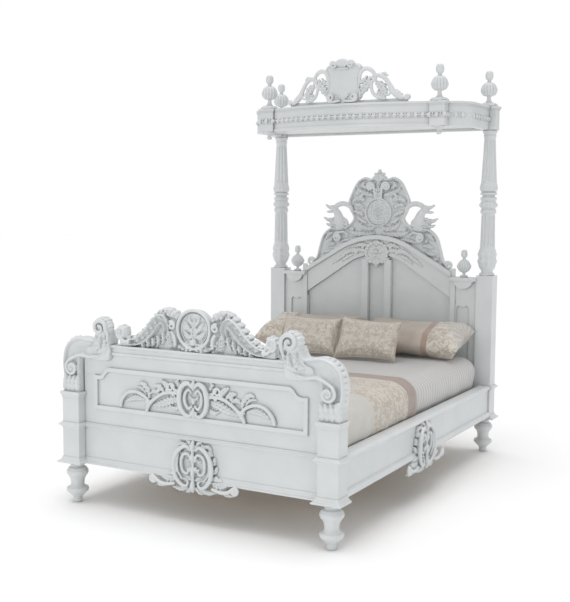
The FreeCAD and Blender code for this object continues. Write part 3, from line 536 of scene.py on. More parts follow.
# ---------------------------------------------------------------------- making of pieces
def new_object(name, shape, material):
    """A smooth shaded Blender object from a shape in millimetres."""
    points, faces = shape
    mesh = bpy.data.meshes.new(name)
    mesh.from_pydata((np.array(points) * MM).tolist(), [], faces)
    mesh.validate()
    mesh.materials.append(material)
    obj = bpy.data.objects.new(name, mesh)
    bpy.context.scene.collection.objects.link(obj)
    mesh.polygons.foreach_set("use_smooth", [True] * len(mesh.polygons))
    return obj


def applied(obj):
    """Replace the object's mesh by its modified one, with no modifiers left."""
    depsgraph = bpy.context.evaluated_depsgraph_get()
    mesh = bpy.data.meshes.new_from_object(obj.evaluated_get(depsgraph))
    obj.modifiers.clear()
    obj.data = mesh
    mesh.name = obj.name
    return obj


def tied(obj, body, nodes):
    """Tie a piece to its body and hide the CAD nodes that it stands for."""
    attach(obj, body)
    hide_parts(*nodes)
    return obj


def painted(name, shape, nodes):
    """A finished shape as a piece of the white bedstead."""
    return tied(new_object(name, shape, MATERIALS["white_paint"]), "bedstead", nodes)


def carved(name, shapes, place, nodes, voxel=0.2):
    """One carved piece: its shapes are grown together and softened as thick paint does.

    The voxel is in millimetres, so the mesh is remeshed at 1000 times its size.
    """
    points, faces = merged(shapes)
    obj = painted(name, (place(points) / MM, faces), nodes)
    remesh = obj.modifiers.new("grow", "REMESH")
    remesh.mode = "VOXEL"
    remesh.voxel_size = voxel
    remesh.use_smooth_shade = True
    soften = obj.modifiers.new("soften", "SMOOTH")
    soften.factor = 0.5
    soften.iterations = 3
    applied(obj)
    obj.data.transform(Matrix.Scale(MM, 4))


def carved_side(name, side, sign, shapes, place, voxel=0.2):
    """A carving drawn for the right side, on either side."""
    if sign < 0:
        shapes = [mirrored(s) for s in shapes]
    carved(name + "_carved_" + side, shapes, place, [name + "_" + side], voxel)


# ---------------------------------------------------------------------------- footboard
def footboard_medallion():
    u, w = 0, 77.0
    shapes = [plate(oval(u, w, 7.6, 7.6), 2.6)]
    shapes.append(stem(oval(u, w, 7.5, 7.5, 1.3, 3.6), 1.0, True, 72))
    shapes.append(stem(oval(u, w, 6.1, 6.1, 0.5, 3.0), 1.0, True, 60))
    shapes.append(leaf([(0, 72.6, 2.0, 3.6), (0, 75.4, 3.4, 4.6), (0, 78.6, 2.6, 4.2),
                        (0, 81.2, 0.8, 3.2)], 6, 0.45, 2.0))
    shapes += both([
        leaf([(0.8, 73.6, 1.8, 3.4), (3.2, 74.4, 2.6, 4.4), (5.2, 76.4, 1.0, 3.2)], 4, 0.45, 2.0),
        leaf([(1.0, 75.8, 1.6, 3.6), (2.9, 77.8, 2.4, 4.2), (4.4, 80.2, 0.9, 3.2)], 4, 0.45, 2.0),
        leaf([(0.9, 78.4, 1.2, 3.6), (2.1, 80.6, 1.7, 4.0), (2.3, 82.6, 0.7, 3.1)], 3, 0.45, 2.0),
        leaf([(0.6, 71.0, 2.0, 4.2), (3.2, 70.6, 2.8, 4.6), (6.0, 72.4, 1.2, 3.6)], 4),
        leaf([(0.5, 69.2, 2.6, 4.4), (4.2, 68.9, 2.8, 4.4), (8.2, 70.2, 1.4, 3.2)], 4)])
    shapes.append(ball(u, 72.0, 3.8, (1.5, 1.3, 1.3)))
    shapes.append(slab((-5.4, 5.4), (CREST_FOOT_Z, 71.5), (0, 3.0)))
    carved("footboard_medallion_carved", shapes, on_front(CREST_BACK), ["footboard_medallion"],
           0.18)


def footboard_crest_scroll():
    """The long leafy C scroll beside the medallion."""
    outline = [(8.0, 68.2), (7.9, 74.0), (8.9, 80.4), (12.2, 82.6), (15.4, 82.2), (18.6, 79.0),
               (22.4, 74.9), (26.6, 71.1), (31.0, 69.4), (33.0, 68.2), (20.0, 68.0)]
    shapes = [plate(outline, 1.2)]
    shapes.append(band([(14.4, 73.6, 1.6, 3.0), (13.4, 77.6, 2.8, 4.0), (15.6, 80.4, 3.6, 4.6),
                        (18.6, 78.4, 4.2, 4.7), (21.6, 74.9, 4.2, 4.5), (25.2, 71.9, 3.8, 4.3),
                        (28.8, 70.2, 3.0, 4.1), (32.4, 69.9, 2.4, 4.0)]))
    shapes.append(stem(curl(10.2, 78.0, 1.7, 60, 1.3, 1.3, 4.0, 0.2), 1.0))
    shapes.append(stem([(8.7, 70.0, 1.2, 3.4), (8.9, 73.4, 1.5, 3.8), (10.2, 75.8, 1.2, 4.0)]))
    crown = ((8.6, 81.2, 10.4, 83.4), (10.4, 82.0, 12.8, 84.3), (12.2, 82.4, 15.2, 84.2),
             (14.4, 82.2, 17.6, 83.2), (16.4, 81.0, 19.6, 81.6), (18.4, 79.0, 21.6, 79.6),
             (20.4, 76.8, 23.6, 77.4), (22.4, 74.8, 25.8, 75.2), (24.8, 72.8, 28.2, 73.2),
             (27.4, 71.2, 30.6, 71.6))
    for u, w, tip_u, tip_w in crown:
        middle = ((u + tip_u) / 2 - 0.2, (w + tip_w) / 2 + 0.3)
        shapes.append(leaf([(u - 0.6, w - 1.4, 1.6, 3.2), (*middle, 2.5, 4.2),
                            (tip_u, tip_w, 0.8, 3.0)], 3, 0.35))
    shapes.append(leaf([(11.4, 69.0, 2.4, 3.0), (12.2, 72.6, 3.4, 4.0), (12.0, 75.6, 1.6, 3.4)],
                       5, 0.45))
    shapes.append(leaf([(10.0, 68.8, 1.6, 2.6), (9.8, 71.6, 2.0, 3.4), (11.4, 73.8, 1.0, 3.0)], 4))
    for k in range(5):
        u, w = 15.2 + 2.5 * k, 75.0 - 1.25 * k
        shapes.append(leaf([(u, w, 1.5, 3.9), (u - 0.1, w - 2.2, 2.1, 3.8),
                            (u + 1.1, max(w - 5.4, 68.4), 0.9, 2.4)], 4, 0.45))
    shapes.append(leaf([(28.0, 69.4, 1.6, 3.2), (32.2, 68.7, 2.2, 3.6), (37.2, 68.9, 0.8, 2.6)], 4))
    eye_u, eye_w = 34.9, 73.6
    shapes.append(drum(eye_u, eye_w, ((0.2, 1.8), (0.6, 2.5), (2.2, 2.8), (3.8, 2.5), (4.4, 1.9)),
                       24))
    shapes.append(stem([(31.0, 69.9, 1.6, 4.0), (33.2, 70.2, 1.5, 4.3)]
                       + curl(eye_u, eye_w, 2.5, -100, 1.6, 1.3, 4.4, 0.2, 0.3), 0.8))
    shapes += [ball(eye_u + 2.6 * math.cos(a), eye_w + 2.6 * math.sin(a), 2.2, (0.8, 0.8, 1.9))
               for a in (0.2, 0.9, 1.6, 2.3)]
    shapes.append(slab((31.2, 36.2), (CREST_FOOT_Z, 72.4), (0, 3.2)))
    return shapes


def footboard_corner_scroll():
    """The big S scroll over a foot post, with leaves up its face and beads round its shoulder."""
    path = [(60.2, 47.6), (60.3, 51.0), (60.6, 55.5), (60.7, 60.0), (59.6, 64.4), (56.2, 66.6),
            (51.8, 66.2), (48.0, 66.2), (45.2, 68.2), (44.0, 71.0), (43.8, 73.6)]
    wide = (8.2, 8.0, 8.6, 9.0, 9.0, 7.8, 7.4, 8.0, 8.6, 8.0, 7.0)
    shapes = [band([(u, w, width, 6.3) for (u, w), width in zip(path, wide)], SHALLOW, 0.0, 120)]
    shapes.append(plate([(40.4, 73.6), (40.6, 68.6), (40.8, 63.8), (42.6, 61.6), (52.0, 62.0),
                         (52.6, 66.0), (49.0, 68.0), (47.4, 73.0)], 5.4, 0.0, 60))
    eye_u, eye_w = 44.0, 75.3
    shapes.append(drum(eye_u, eye_w, ((0.6, 1.6), (1.4, 2.8), (2.6, 3.7), (4.4, 4.1), (6.0, 3.9),
                                      (6.9, 3.1), (7.2, 2.0)), 28))
    shapes += [ball(eye_u + 3.6 * math.cos(a), eye_w + 3.6 * math.sin(a), 4.4, (0.9, 0.9, 2.5))
               for a in np.radians(range(-80, 130, 26))]
    shapes.append(stem([(41.2, 69.6, 1.2, 6.2), (40.4, 72.6, 1.4, 6.9)]
                       + curl(eye_u, eye_w, 3.4, 190, -1.4, 1.9, 7.7, 0.16, 0.3), 0.9))
    shapes.append(ball(eye_u, eye_w, 7.2, (0.8, 0.8, 0.8)))
    shapes.append(leaf([(41.4, 72.0, 1.4, 6.6), (40.2, 74.6, 2.4, 7.6), (41.0, 77.6, 1.0, 7.4)], 4,
                       0.4, 4.0))
    shapes.append(leaf([(49.6, 65.8, 1.6, 6.2), (46.4, 67.0, 2.6, 6.9), (45.4, 70.4, 2.2, 7.0),
                        (46.0, 72.6, 1.0, 6.4)], 5, 0.35, 4.6))
    shapes.append(leaf([(47.0, 64.6, 1.4, 6.0), (43.6, 66.4, 2.4, 6.6), (42.6, 69.6, 2.0, 6.8),
                        (42.8, 72.0, 0.9, 6.4)], 5, 0.35, 4.6))
    shapes.append(stem([(46.6, 63.4, 1.0, 6.0), (50.6, 62.7, 1.3, 6.5), (54.6, 63.2, 1.4, 6.8),
                        (57.6, 62.4, 1.3, 6.8), (60.6, 60.8, 1.3, 6.9)]
                       + curl(59.5, 57.6, 3.0, 40, -1.6, 1.4, 7.0, 0.14, 0.4), 0.9))
    shapes.append(ball(59.5, 57.6, 6.5, (2.5, 2.5, 0.7)))
    shapes.append(slab((56.3, 64.0), (47.0, 54.0), (0, 6.3)))
    for k in range(4):
        u = 57.1 + 2.1 * k
        shapes.append(leaf([(u, 47.2, 2.2, 6.9), (u, 50.4, 2.7, 7.4), (u - 0.5, 53.0, 2.0, 7.6),
                            (u - 0.9, 54.6, 0.8, 7.0)], 3, 0.3, 5.6))
    for k in range(3):
        h = 1.2 + 2.2 * k
        column = leaf([(h, 47.2, 2.2, 1.2), (h, 50.6, 2.6, 1.6), (h + 0.2, 53.2, 1.9, 1.5),
                       (h + 0.3, 55.0, 0.7, 0.9)], 3, 0.3, -0.4)
        turned = np.column_stack([63.3 + column[0][:, 2], column[0][:, 1], column[0][:, 0]])
        shapes.append((turned, column[1]))      # up the post's outer side, not its face
    for k in range(9):
        angle = math.radians(-12 + 17.0 * k)
        u, w = 58.4 + 7.1 * math.cos(angle), 62.2 + 7.7 * math.sin(angle)
        if w < 62.2:
            u = 65.6
        shapes.append(ball(u - 0.5, w, 3.2, (0.9, 1.0, 1.5)))
    for k in range(4):
        shapes.append(ball(65.3 - 0.25 * k, 61.0 - 2.1 * k, 3.2, (0.8, 0.95, 1.5)))
    return shapes


def footboard_applique():
    u, w = 0, 49.4
    shapes = [plate(oval(u, w, 5.0, 5.6), 0.7)]
    shapes += both([
        stem([(0.4, 54.2, 1.1, 1.8), (2.6, 55.9, 1.8, 2.1), (5.4, 54.2, 2.1, 2.2),
              (6.5, 50.0, 2.2, 2.2), (5.8, 45.8, 2.0, 2.1), (3.4, 43.2, 1.6, 2.0),
              (1.2, 43.4, 1.2, 1.9), (1.4, 44.9, 0.9, 1.8)], 0.9),
        stem([(0.5, 47.2, 1.0, 1.8), (2.3, 45.9, 1.2, 1.9), (3.9, 48.4, 1.4, 2.0),
              (3.8, 51.6, 1.3, 2.0), (2.1, 53.4, 1.1, 1.9), (0.9, 51.8, 0.9, 1.8)], 0.9),
        leaf([(0.8, 49.4, 1.4, 1.9), (1.8, 50.4, 1.6, 2.2), (2.3, 52.0, 0.6, 1.6)], 3),
        leaf([(6.8, 53.6, 1.4, 1.6), (8.2, 55.6, 2.0, 2.0), (7.4, 57.2, 0.7, 1.4)], 3),
        leaf([(7.0, 46.2, 1.4, 1.6), (9.0, 45.0, 2.0, 1.9), (11.4, 45.8, 0.7, 1.3)], 3),
        stem([(6.6, 51.0, 1.5, 1.3), (10.4, 51.4, 1.3, 1.6), (14.6, 50.6, 1.4, 1.6),
              (18.6, 48.2, 1.4, 1.6), (21.6, 45.6, 1.8, 1.5), (22.7, 43.4, 1.5, 1.3),
              (22.8, 42.2, 1.2, 1.2)], 0.9),
        stem([(21.0, 46.2, 1.2, 1.4), (24.2, 48.8, 1.4, 1.6), (28.2, 50.1, 1.4, 1.7),
              (32.2, 49.3, 1.4, 1.6), (34.9, 46.8, 1.6, 1.5), (36.0, 44.4, 1.5, 1.3),
              (35.9, 43.2, 1.2, 1.2)], 0.9),
        leaf([(7.4, 49.0, 2.2, 1.5), (11.6, 48.0, 4.0, 1.9), (16.0, 46.3, 3.4, 1.7),
              (20.2, 45.2, 1.2, 1.1)], 8, 0.5),
        leaf([(23.6, 46.9, 1.4, 1.1), (28.4, 47.6, 3.2, 1.6), (33.8, 45.6, 1.4, 1.2)], 8, 0.5),
        stem([(7.2, 52.2, 0.9, 1.3)] + curl(10.9, 53.4, 1.7, 200, -1.3, 1.2, 1.6, 0.3, 0.3), 0.9),
        leaf([(8.6, 51.8, 1.4, 1.4), (10.6, 51.7, 2.0, 1.8), (12.8, 52.6, 0.8, 1.3)], 3),
        leaf([(12.4, 51.6, 1.4, 1.4), (13.6, 54.0, 2.8, 2.0), (15.8, 55.6, 1.0, 1.4)], 4),
        leaf([(14.4, 51.2, 1.4, 1.4), (16.8, 52.9, 2.6, 2.0), (19.2, 53.4, 0.9, 1.4)], 4),
        leaf([(16.8, 50.0, 1.4, 1.4), (19.2, 50.9, 2.2, 1.8), (21.2, 50.0, 0.8, 1.3)], 4),
        leaf([(21.8, 47.8, 1.2, 1.4), (22.4, 50.8, 2.0, 1.8), (24.8, 53.4, 2.2, 1.9),
              (27.2, 53.2, 0.9, 1.4)], 5),
        leaf([(23.2, 49.2, 1.0, 1.3), (25.4, 51.6, 1.6, 1.7), (28.2, 52.0, 0.7, 1.2)], 4),
        ball(12.6, 52.4, 1.3, 1.0), ball(17.2, 51.4, 1.2, 0.9), ball(9.9, 50.6, 1.2, 0.9),
        ball(22.2, 46.6, 1.4, 1.1)])
    shapes.append(stem([(0, 42.4, 1.2, 1.6), (0, 44.2, 2.0, 2.2), (0, 46.4, 0.9, 1.7)]))
    shapes.append(stem([(0, 53.2, 1.0, 1.9), (0, 55.2, 1.8, 2.3), (0, 57.2, 0.9, 1.6)]))
    shapes.append(ball(0, 49.0, 1.6, (1.0, 1.4, 1.0)))
    carved("footboard_applique_carved", shapes, on_front(BOARD_FRONT + 0.25),
           ["footboard_applique"], 0.16)


def rocaille_shapes():
    """The shell-like cartouche of the apron and the side rails, with sprays at its foot."""
    shapes = [plate(oval(0, 22.6, 8.2, 8.2), 0.9)]
    shapes += both([
        *[leaf([(8.2 * math.cos(a), 22.8 + 8.0 * math.sin(a), 1.4, 1.8),
                (9.6 * math.cos(a + 0.1), 22.8 + 9.0 * math.sin(a + 0.1), 2.1, 2.2),
                (10.6 * math.cos(a + 0.3), 22.8 + 9.7 * math.sin(a + 0.3), 0.7, 1.6)], 2, 0.35)
          for a in np.radians((-32, -10, 12, 34, 56))],
        stem([(1.0, 29.4, 1.1, 2.2), (3.4, 31.0, 1.5, 2.5), (6.8, 28.8, 1.8, 2.7),
              (8.8, 24.6, 1.9, 2.8), (8.5, 19.6, 1.9, 2.7), (6.2, 16.0, 1.6, 2.5),
              (3.4, 15.0, 1.3, 2.3), (2.3, 16.6, 1.0, 2.2), (3.4, 17.6, 0.8, 2.1)], 0.9),
        stem([(6.9, 27.4, 0.8, 2.2), (7.5, 24.0, 0.9, 2.3), (7.1, 20.4, 0.9, 2.3),
              (5.0, 17.6, 0.8, 2.2)], 0.9),
        stem([(0.8, 25.0, 1.0, 2.1), (2.0, 27.8, 1.3, 2.3), (4.6, 27.4, 1.4, 2.3),
              (5.6, 24.2, 1.3, 2.2), (4.9, 21.0, 1.2, 2.1), (3.0, 20.0, 1.0, 2.1),
              (2.2, 21.6, 0.8, 2.0), (3.0, 22.4, 0.7, 2.0)], 0.9),
        leaf([(0.8, 26.0, 1.4, 2.2), (2.4, 25.2, 1.8, 2.4), (3.9, 25.6, 0.7, 1.8)], 3),
        leaf([(0.9, 17.6, 1.4, 2.2), (2.6, 18.6, 1.8, 2.3), (4.4, 18.2, 0.7, 1.7)], 3),
        leaf([(0.8, 29.8, 1.6, 2.4), (2.0, 32.2, 1.9, 2.5), (3.8, 33.2, 0.6, 1.8)], 3),
        leaf([(4.2, 30.6, 1.6, 2.2), (6.2, 31.4, 1.9, 2.3), (7.9, 30.2, 0.7, 1.7)], 3),
        leaf([(8.6, 17.0, 2.0, 2.2), (12.0, 16.6, 3.0, 2.5), (15.4, 17.2, 1.4, 2.2)], 5),
        leaf([(7.6, 18.6, 1.6, 2.0), (10.6, 18.9, 2.2, 2.2), (13.2, 18.4, 0.8, 1.7)], 4),
        stem([(8.6, 15.4, 1.2, 2.2), (12.6, 14.6, 1.5, 2.3), (16.0, 15.0, 1.6, 2.4),
              (18.8, 17.0, 1.4, 2.4)] + curl(19.0, 15.8, 1.7, 70, -1.2, 1.4, 2.3), 0.9),
        ball(19.0, 15.8, 2.2, (1.0, 1.0, 0.9)),
        leaf([(12.0, 15.2, 1.6, 2.2), (15.4, 13.8, 2.2, 2.4), (18.2, 13.6, 0.8, 1.8)], 4),
        leaf([(2.8, 14.6, 2.0, 2.2), (6.4, 13.4, 2.6, 2.5), (10.2, 13.8, 0.9, 2.0)], 5),
        leaf([(0.8, 14.8, 1.6, 2.2), (2.4, 13.0, 1.8, 2.3), (4.0, 12.2, 0.7, 1.7)], 3)])
    shapes += fan(0, 19.8, 3.6, 40, 140, 5, 1.1, 2.3)
    shapes.append(stem([(0, 33.6, 0.9, 2.0), (0, 31.4, 1.9, 2.7), (0, 28.8, 1.2, 2.5),
                        (0, 26.4, 2.0, 2.7), (0, 24.0, 1.1, 2.3), (0, 20.4, 1.6, 2.5),
                        (0, 17.6, 1.3, 2.3), (0, 15.0, 2.3, 2.7), (0, 12.8, 1.0, 2.1)]))
    return shapes


def rocailles():
    carved("footboard_apron_cartouche_carved", rocaille_shapes(), on_front(BOARD_FRONT + BEDDED),
           ["footboard_apron_cartouche"])
    for side, sign in SIDES:
        node = "side_cartouche_" + side
        low, high = box_mm(node)
        place = on_rail(sign, RAIL_FACE, float(low[1] + high[1]) / 2)
        carved(node + "_carved", rocaille_shapes(), place, [node])


# ---------------------------------------------------------------------------- headboard
def headboard_crest():
    outline = [(0, 142.0), (2.2, 141.0), (3.4, 139.6), (5.2, 139.2), (8.4, 140.0), (12.2, 137.8),
               (15.0, 133.0), (17.2, 127.2), (15.8, 122.6), (14.2, 118.6), (17.2, 114.8),
               (22.0, 113.2), (28.0, 113.0), (32.6, 109.2), (34.8, 103.0), (36.4, 97.4),
               (38.6, 94.6), (36.0, 92.4), (30.0, 96.0), (20.0, 103.0), (10.0, 107.4), (0, 109.0)]
    shapes = [plate(symmetrical(outline), 1.2, 0.0, 320)]
    rim = [(u, w, 1.5, 2.9) for u, w in outline[2:18]]
    shapes += both([
        band([(1.4, 139.8, 1.0, 2.8)] + rim, ROUND, 0.6, 150),
        stem([(38.0, 95.6, 1.6, 2.4)] + curl(39.9, 94.9, 2.0, 160, -1.4, 1.8, 2.8)),
        stem([(1.6, 128.6, 0.9, 3.0), (2.0, 132.4, 1.4, 3.4)]
             + curl(4.6, 135.6, 2.4, 190, -1.6, 1.5, 3.6, 0.2), 0.9),
        ball(4.7, 135.6, 3.2, (0.9, 0.9, 0.9)),
        leaf([(2.6, 131.0, 2.2, 3.0), (6.8, 131.8, 3.6, 3.8), (11.0, 133.6, 2.8, 3.5),
              (12.6, 136.0, 1.0, 2.6)], 6, 0.5),
        leaf([(7.0, 134.6, 2.0, 2.8), (9.4, 136.6, 3.0, 3.4), (8.0, 138.6, 1.0, 2.4)], 5, 0.5),
        leaf([(8.0, 128.4, 2.4, 3.0), (12.0, 129.6, 3.6, 3.8), (15.4, 127.6, 1.4, 2.6)], 5, 0.5),
        leaf([(8.6, 124.6, 2.0, 2.8), (11.6, 126.0, 2.8, 3.5), (14.8, 125.6, 1.0, 2.4)], 4, 0.5),
        leaf([(8.8, 120.4, 2.2, 3.0), (12.2, 122.2, 3.0, 3.6), (14.9, 122.6, 1.0, 2.4)], 5, 0.5),
        leaf([(1.8, 114.4, 2.0, 3.2), (5.2, 113.2, 3.0, 3.8), (9.4, 114.0, 3.0, 3.5),
              (12.6, 117.4, 1.4, 2.6)], 6, 0.5),
        leaf([(6.4, 116.4, 1.6, 2.8), (9.6, 117.4, 2.4, 3.4), (12.2, 120.0, 0.9, 2.4)], 4, 0.5),
        leaf([(2.0, 110.8, 2.0, 2.8), (7.6, 110.2, 3.4, 3.6), (13.6, 110.6, 3.2, 3.5),
              (18.0, 112.2, 1.2, 2.6)], 8, 0.5),
        leaf([(12.6, 107.8, 1.6, 2.8), (17.8, 107.2, 2.8, 3.5), (23.0, 106.0, 1.2, 2.4)], 6, 0.5),
        stem([(17.4, 109.6, 1.1, 2.8), (20.2, 111.4, 1.4, 3.2)]
             + curl(23.6, 108.6, 2.6, 110, -1.5, 1.5, 3.4, 0.2), 0.9),
        ball(23.6, 108.6, 3.0, (1.0, 1.0, 0.9)),
        leaf([(26.6, 110.8, 1.8, 2.8), (29.4, 109.8, 2.8, 3.6), (31.6, 107.0, 1.0, 2.6)], 5, 0.5),
        leaf([(25.4, 104.8, 1.8, 2.8), (28.4, 104.6, 3.2, 3.6), (31.6, 103.6, 1.2, 2.6)], 5, 0.5),
        leaf([(26.4, 101.4, 1.8, 2.6), (29.8, 100.6, 2.8, 3.4), (33.0, 100.2, 1.2, 2.6)], 5, 0.5),
        leaf([(30.4, 97.0, 1.2, 2.4), (32.6, 97.8, 2.4, 3.4), (34.4, 98.4, 1.0, 2.4)], 4, 0.5),
        leaf([(33.4, 94.6, 1.2, 2.4), (35.0, 95.2, 2.0, 3.2), (36.6, 94.6, 1.0, 2.4)], 3, 0.5),
        ball(15.2, 113.0, 2.8, 1.2), ball(9.8, 131.0, 2.6, 0.9), ball(27.6, 107.2, 2.6, 0.9)])
    shapes += both([
        leaf([(0.4, 138.6, 1.8, 3.0), (2.4, 140.4, 2.4, 3.4), (3.9, 140.4, 0.8, 2.4)], 3, 0.35),
        leaf([(0.4, 140.2, 1.6, 3.0), (1.9, 142.0, 2.0, 3.3), (2.9, 142.8, 0.7, 2.4)], 3, 0.35)])
    shapes.append(leaf([(0, 139.6, 2.2, 3.2), (0, 142.2, 2.8, 3.6), (0, 144.8, 1.0, 2.6)], 4, 0.35))
    shapes.append(leaf([(0, 128.6, 2.6, 3.2), (0, 132.6, 4.2, 4.2), (0, 136.6, 3.2, 4.0),
                        (0, 140.4, 1.4, 3.2)], 6, 0.5))
    shapes.append(plate(oval(0, 122.0, 6.8, 6.8), 2.0))
    shapes.append(stem(oval(0, 122.0, 7.3, 7.3, 0.9, 2.9), 1.0, True, 72))
    shapes += rosette(0, 122.0, 6.5, 12, 3.2) + rosette(0, 122.0, 3.9, 6, 4.2)
    carved("headboard_crest_carved", shapes, on_front(CREST_PLANE), ["headboard_crest"], 0.24)


def headboard_cartouche():
    shapes = [plate(oval(0, 100.9, 5.4, 5.0), 0.9)]
    shapes += [ball(6.0 * math.cos(a), 100.7 + 5.5 * math.sin(a), 1.3, (1.1, 1.1, 1.0))
               for a in np.linspace(0, TAU, 18, endpoint=False)]
    shapes += rosette(0, 101.2, 4.2, 6, 2.4)
    shapes += both([
        leaf([(5.6, 104.4, 2.0, 1.6), (9.4, 104.8, 2.8, 2.1), (13.2, 103.4, 1.0, 1.3)], 5, 0.5),
        leaf([(6.4, 101.6, 2.0, 1.6), (10.6, 101.8, 2.6, 2.0), (14.4, 100.6, 1.0, 1.3)], 5, 0.5),
        leaf([(12.4, 102.6, 1.6, 1.4), (16.4, 101.0, 3.0, 2.0), (20.6, 98.6, 1.2, 1.3)], 6, 0.5),
        leaf([(18.6, 99.0, 1.4, 1.2), (22.4, 97.0, 2.4, 1.7), (26.4, 93.8, 0.8, 1.0)], 5, 0.5),
        leaf([(13.6, 99.4, 1.2, 1.2), (17.2, 97.8, 2.0, 1.6), (20.8, 95.2, 0.8, 1.0)], 4, 0.5),
        stem([(4.6, 107.6, 1.4, 1.6), (10.8, 106.6, 1.4, 1.7), (16.8, 104.2, 1.2, 1.4)], 0.9),
        leaf([(2.4, 95.6, 1.8, 1.8), (5.2, 96.2, 2.4, 2.1), (7.4, 98.0, 0.9, 1.4)], 4),
        ball(8.0, 103.2, 1.2, 0.9), ball(11.6, 100.2, 1.1, 0.8)])
    shapes.append(leaf([(0, 97.6, 2.4, 2.2), (0, 95.4, 3.4, 2.3), (0, 92.8, 0.8, 1.4)], 4))
    shapes.append(leaf([(0, 104.4, 2.4, 2.2), (0, 106.6, 3.0, 2.3), (0, 108.6, 0.8, 1.4)], 4))
    shallow = (1, 1, 0.72)      # so that the bedding lifts past it
    shapes = [(points * shallow, faces) for points, faces in shapes]
    carved("headboard_cartouche_carved", shapes, on_front(HEAD_FRONT + BEDDED),
           ["headboard_cartouche"], 0.18)


def headboard_bird_scroll():
    """A scroll over a long-necked bird whose beak and wing feathers point outwards."""
    return [
        stem([(15.6, 122.6, 2.2, 1.6), (16.8, 125.0, 2.6, 1.8), (19.8, 126.5, 2.8, 1.9),
              (23.2, 126.2, 2.8, 1.9), (26.2, 124.4, 2.8, 1.9)], 0.8),
        ball(26.2, 123.8, 1.9, (2.4, 2.1, 1.6)),
        stem([(26.6, 124.6, 2.6, 2.0), (29.2, 124.6, 2.0, 1.9), (31.6, 126.0, 1.0, 1.6)], 0.8),
        stem([(26.4, 122.8, 2.2, 2.0), (29.0, 122.2, 1.6, 1.8), (31.0, 122.2, 0.9, 1.5)], 0.8),
        stem([(26.0, 123.2, 3.4, 1.9), (24.5, 121.6, 4.4, 2.0), (23.4, 119.2, 5.4, 2.1),
              (22.9, 116.6, 6.4, 2.1), (23.2, 114.2, 6.2, 1.9), (24.8, 113.0, 3.8, 1.5)], 0.6),
        plate([(18.6, 117.2), (21.4, 119.4), (25.4, 119.0), (28.0, 116.4), (26.6, 113.2),
               (22.0, 112.2), (18.8, 113.6)], 2.0),
        leaf([(21.4, 118.4, 2.4, 2.6), (25.8, 117.8, 3.6, 3.2), (30.0, 117.6, 2.4, 2.6),
              (33.0, 119.0, 0.8, 1.8)], 5, 0.35),
        leaf([(21.6, 116.0, 2.2, 2.6), (26.0, 115.2, 3.2, 3.1), (29.4, 114.8, 2.0, 2.4),
              (31.6, 115.6, 0.8, 1.8)], 5, 0.35),
        leaf([(21.4, 113.8, 2.0, 2.5), (25.0, 112.9, 2.8, 2.9), (28.6, 113.2, 1.0, 2.0)], 4, 0.35),
        stem(curl(19.6, 114.4, 1.5, 60, 1.2, 1.1, 2.4), 0.9),
        ball(27.0, 124.2, 3.0, 0.45)]


def paired_carvings():
    """The scrolls that are drawn once and stand on both sides."""
    drawings = (("footboard_crest_scroll", footboard_crest_scroll(), CREST_BACK, 0.2),
                ("footboard_corner_scroll", footboard_corner_scroll(), CORNER_SCROLL_BACK, 0.2),
                ("headboard_bird_scroll", headboard_bird_scroll(), BIRD_PLANE, 0.18))
    for side, sign in SIDES:
        for name, shapes, plane, voxel in drawings:
            carved_side(name, side, sign, shapes, on_front(plane), voxel)


# ----------------------------------------------------------------------- turned pieces
def arc_rows(steps, count=10):
    """A lathe profile from (r, z) steps, or (middle r, middle z, r, z) for a curved stretch."""
    rows = [steps[0]]
    for step in steps[1:]:
        if len(step) == 2:
            rows += [tuple(np.array(rows[-1]) + (np.array(step) - rows[-1]) * f)
                     for f in (0.5, 1)]
            continue
        a, b, c = np.array(rows[-1]), np.array(step[:2]), np.array(step[2:])
        rows += [tuple((1 - t) * (1 - 2 * t) * a + 4 * t * (1 - t) * b + t * (2 * t - 1) * c)
                 for t in np.linspace(0, 1, count)[1:]]
    return rows


def between(z, low, high, edge=1.0):
    """1 between two heights, falling smoothly to 0 over the edge."""
    f = min(1.0, max(0.0, min(z - low, high - z) / edge))
    return f * f * (3 - 2 * f)


def columns():
    """The two head columns, with foliage, flutes, petals and beads cut round them."""
    low, high = box_mm("column_right")
    foot, top = float(low[2]), float(high[2])
    steps = [(0.05, foot), (3.75, foot), (3.75, foot + 1.1), (2.95, foot + 1.5, 2.95, foot + 2.5),
             (4.15, 95.2, 4.4, 98.2), (4.25, 103.4), (3.75, 104.1), (3.4, 121.8),
             (3.95, 122.3, 3.85, 123.2), (3.8, 123.8), (3.3, 124.2), (4.15, 125.9, 3.45, 128.0),
             (4.05, 128.5), (4.05, 129.8), (3.1, 130.3), (3.15, 131.0), (4.2, 131.5, 4.1, 132.2),
             (3.3, 132.6), (4.2, 133.2), (4.25, 136.2), (3.95, 137.0), (2.8, 159.6),
             (3.15, 160.3, 3.0, 161.0), (2.95, 161.4), (3.55, 162.2), (3.55, top), (0.05, top)]

    def carve(angle, z):
        flute = 0.17 * (between(z, 104.8, 121.4) + between(z, 137.6, 158.9))
        petal = 0.12 * between(z, 124.4, 127.8, 1.6) * abs(np.sin(6 * angle)) ** 0.7
        foliage = 0.11 * between(z, 94.6, 103.6, 1.2) * np.sin(4 * angle + 0.9 * z) \
            * np.sin(4 * angle - 0.9 * z)
        beads = 0.07 * between(z, 133.6, 135.8, 0.8) * np.cos(14 * angle)
        return 1 - flute * np.abs(np.sin(6 * angle)) ** 1.2 + petal + foliage + beads

    profile = []
    for a, b in zip(arc_rows(steps), arc_rows(steps)[1:]):
        parts = max(1, int(abs(b[1] - a[1]) / 0.6))
        profile += [tuple(np.array(a) + (np.array(b) - a) * k / parts) for k in range(parts)]
    profile.append(steps[-1])
    for side, sign in SIDES:
        shape = lathe(sign * POST_X, POST_Y, profile, 96, carve)
        painted("column_turned_" + side, shape, ["column_" + side])


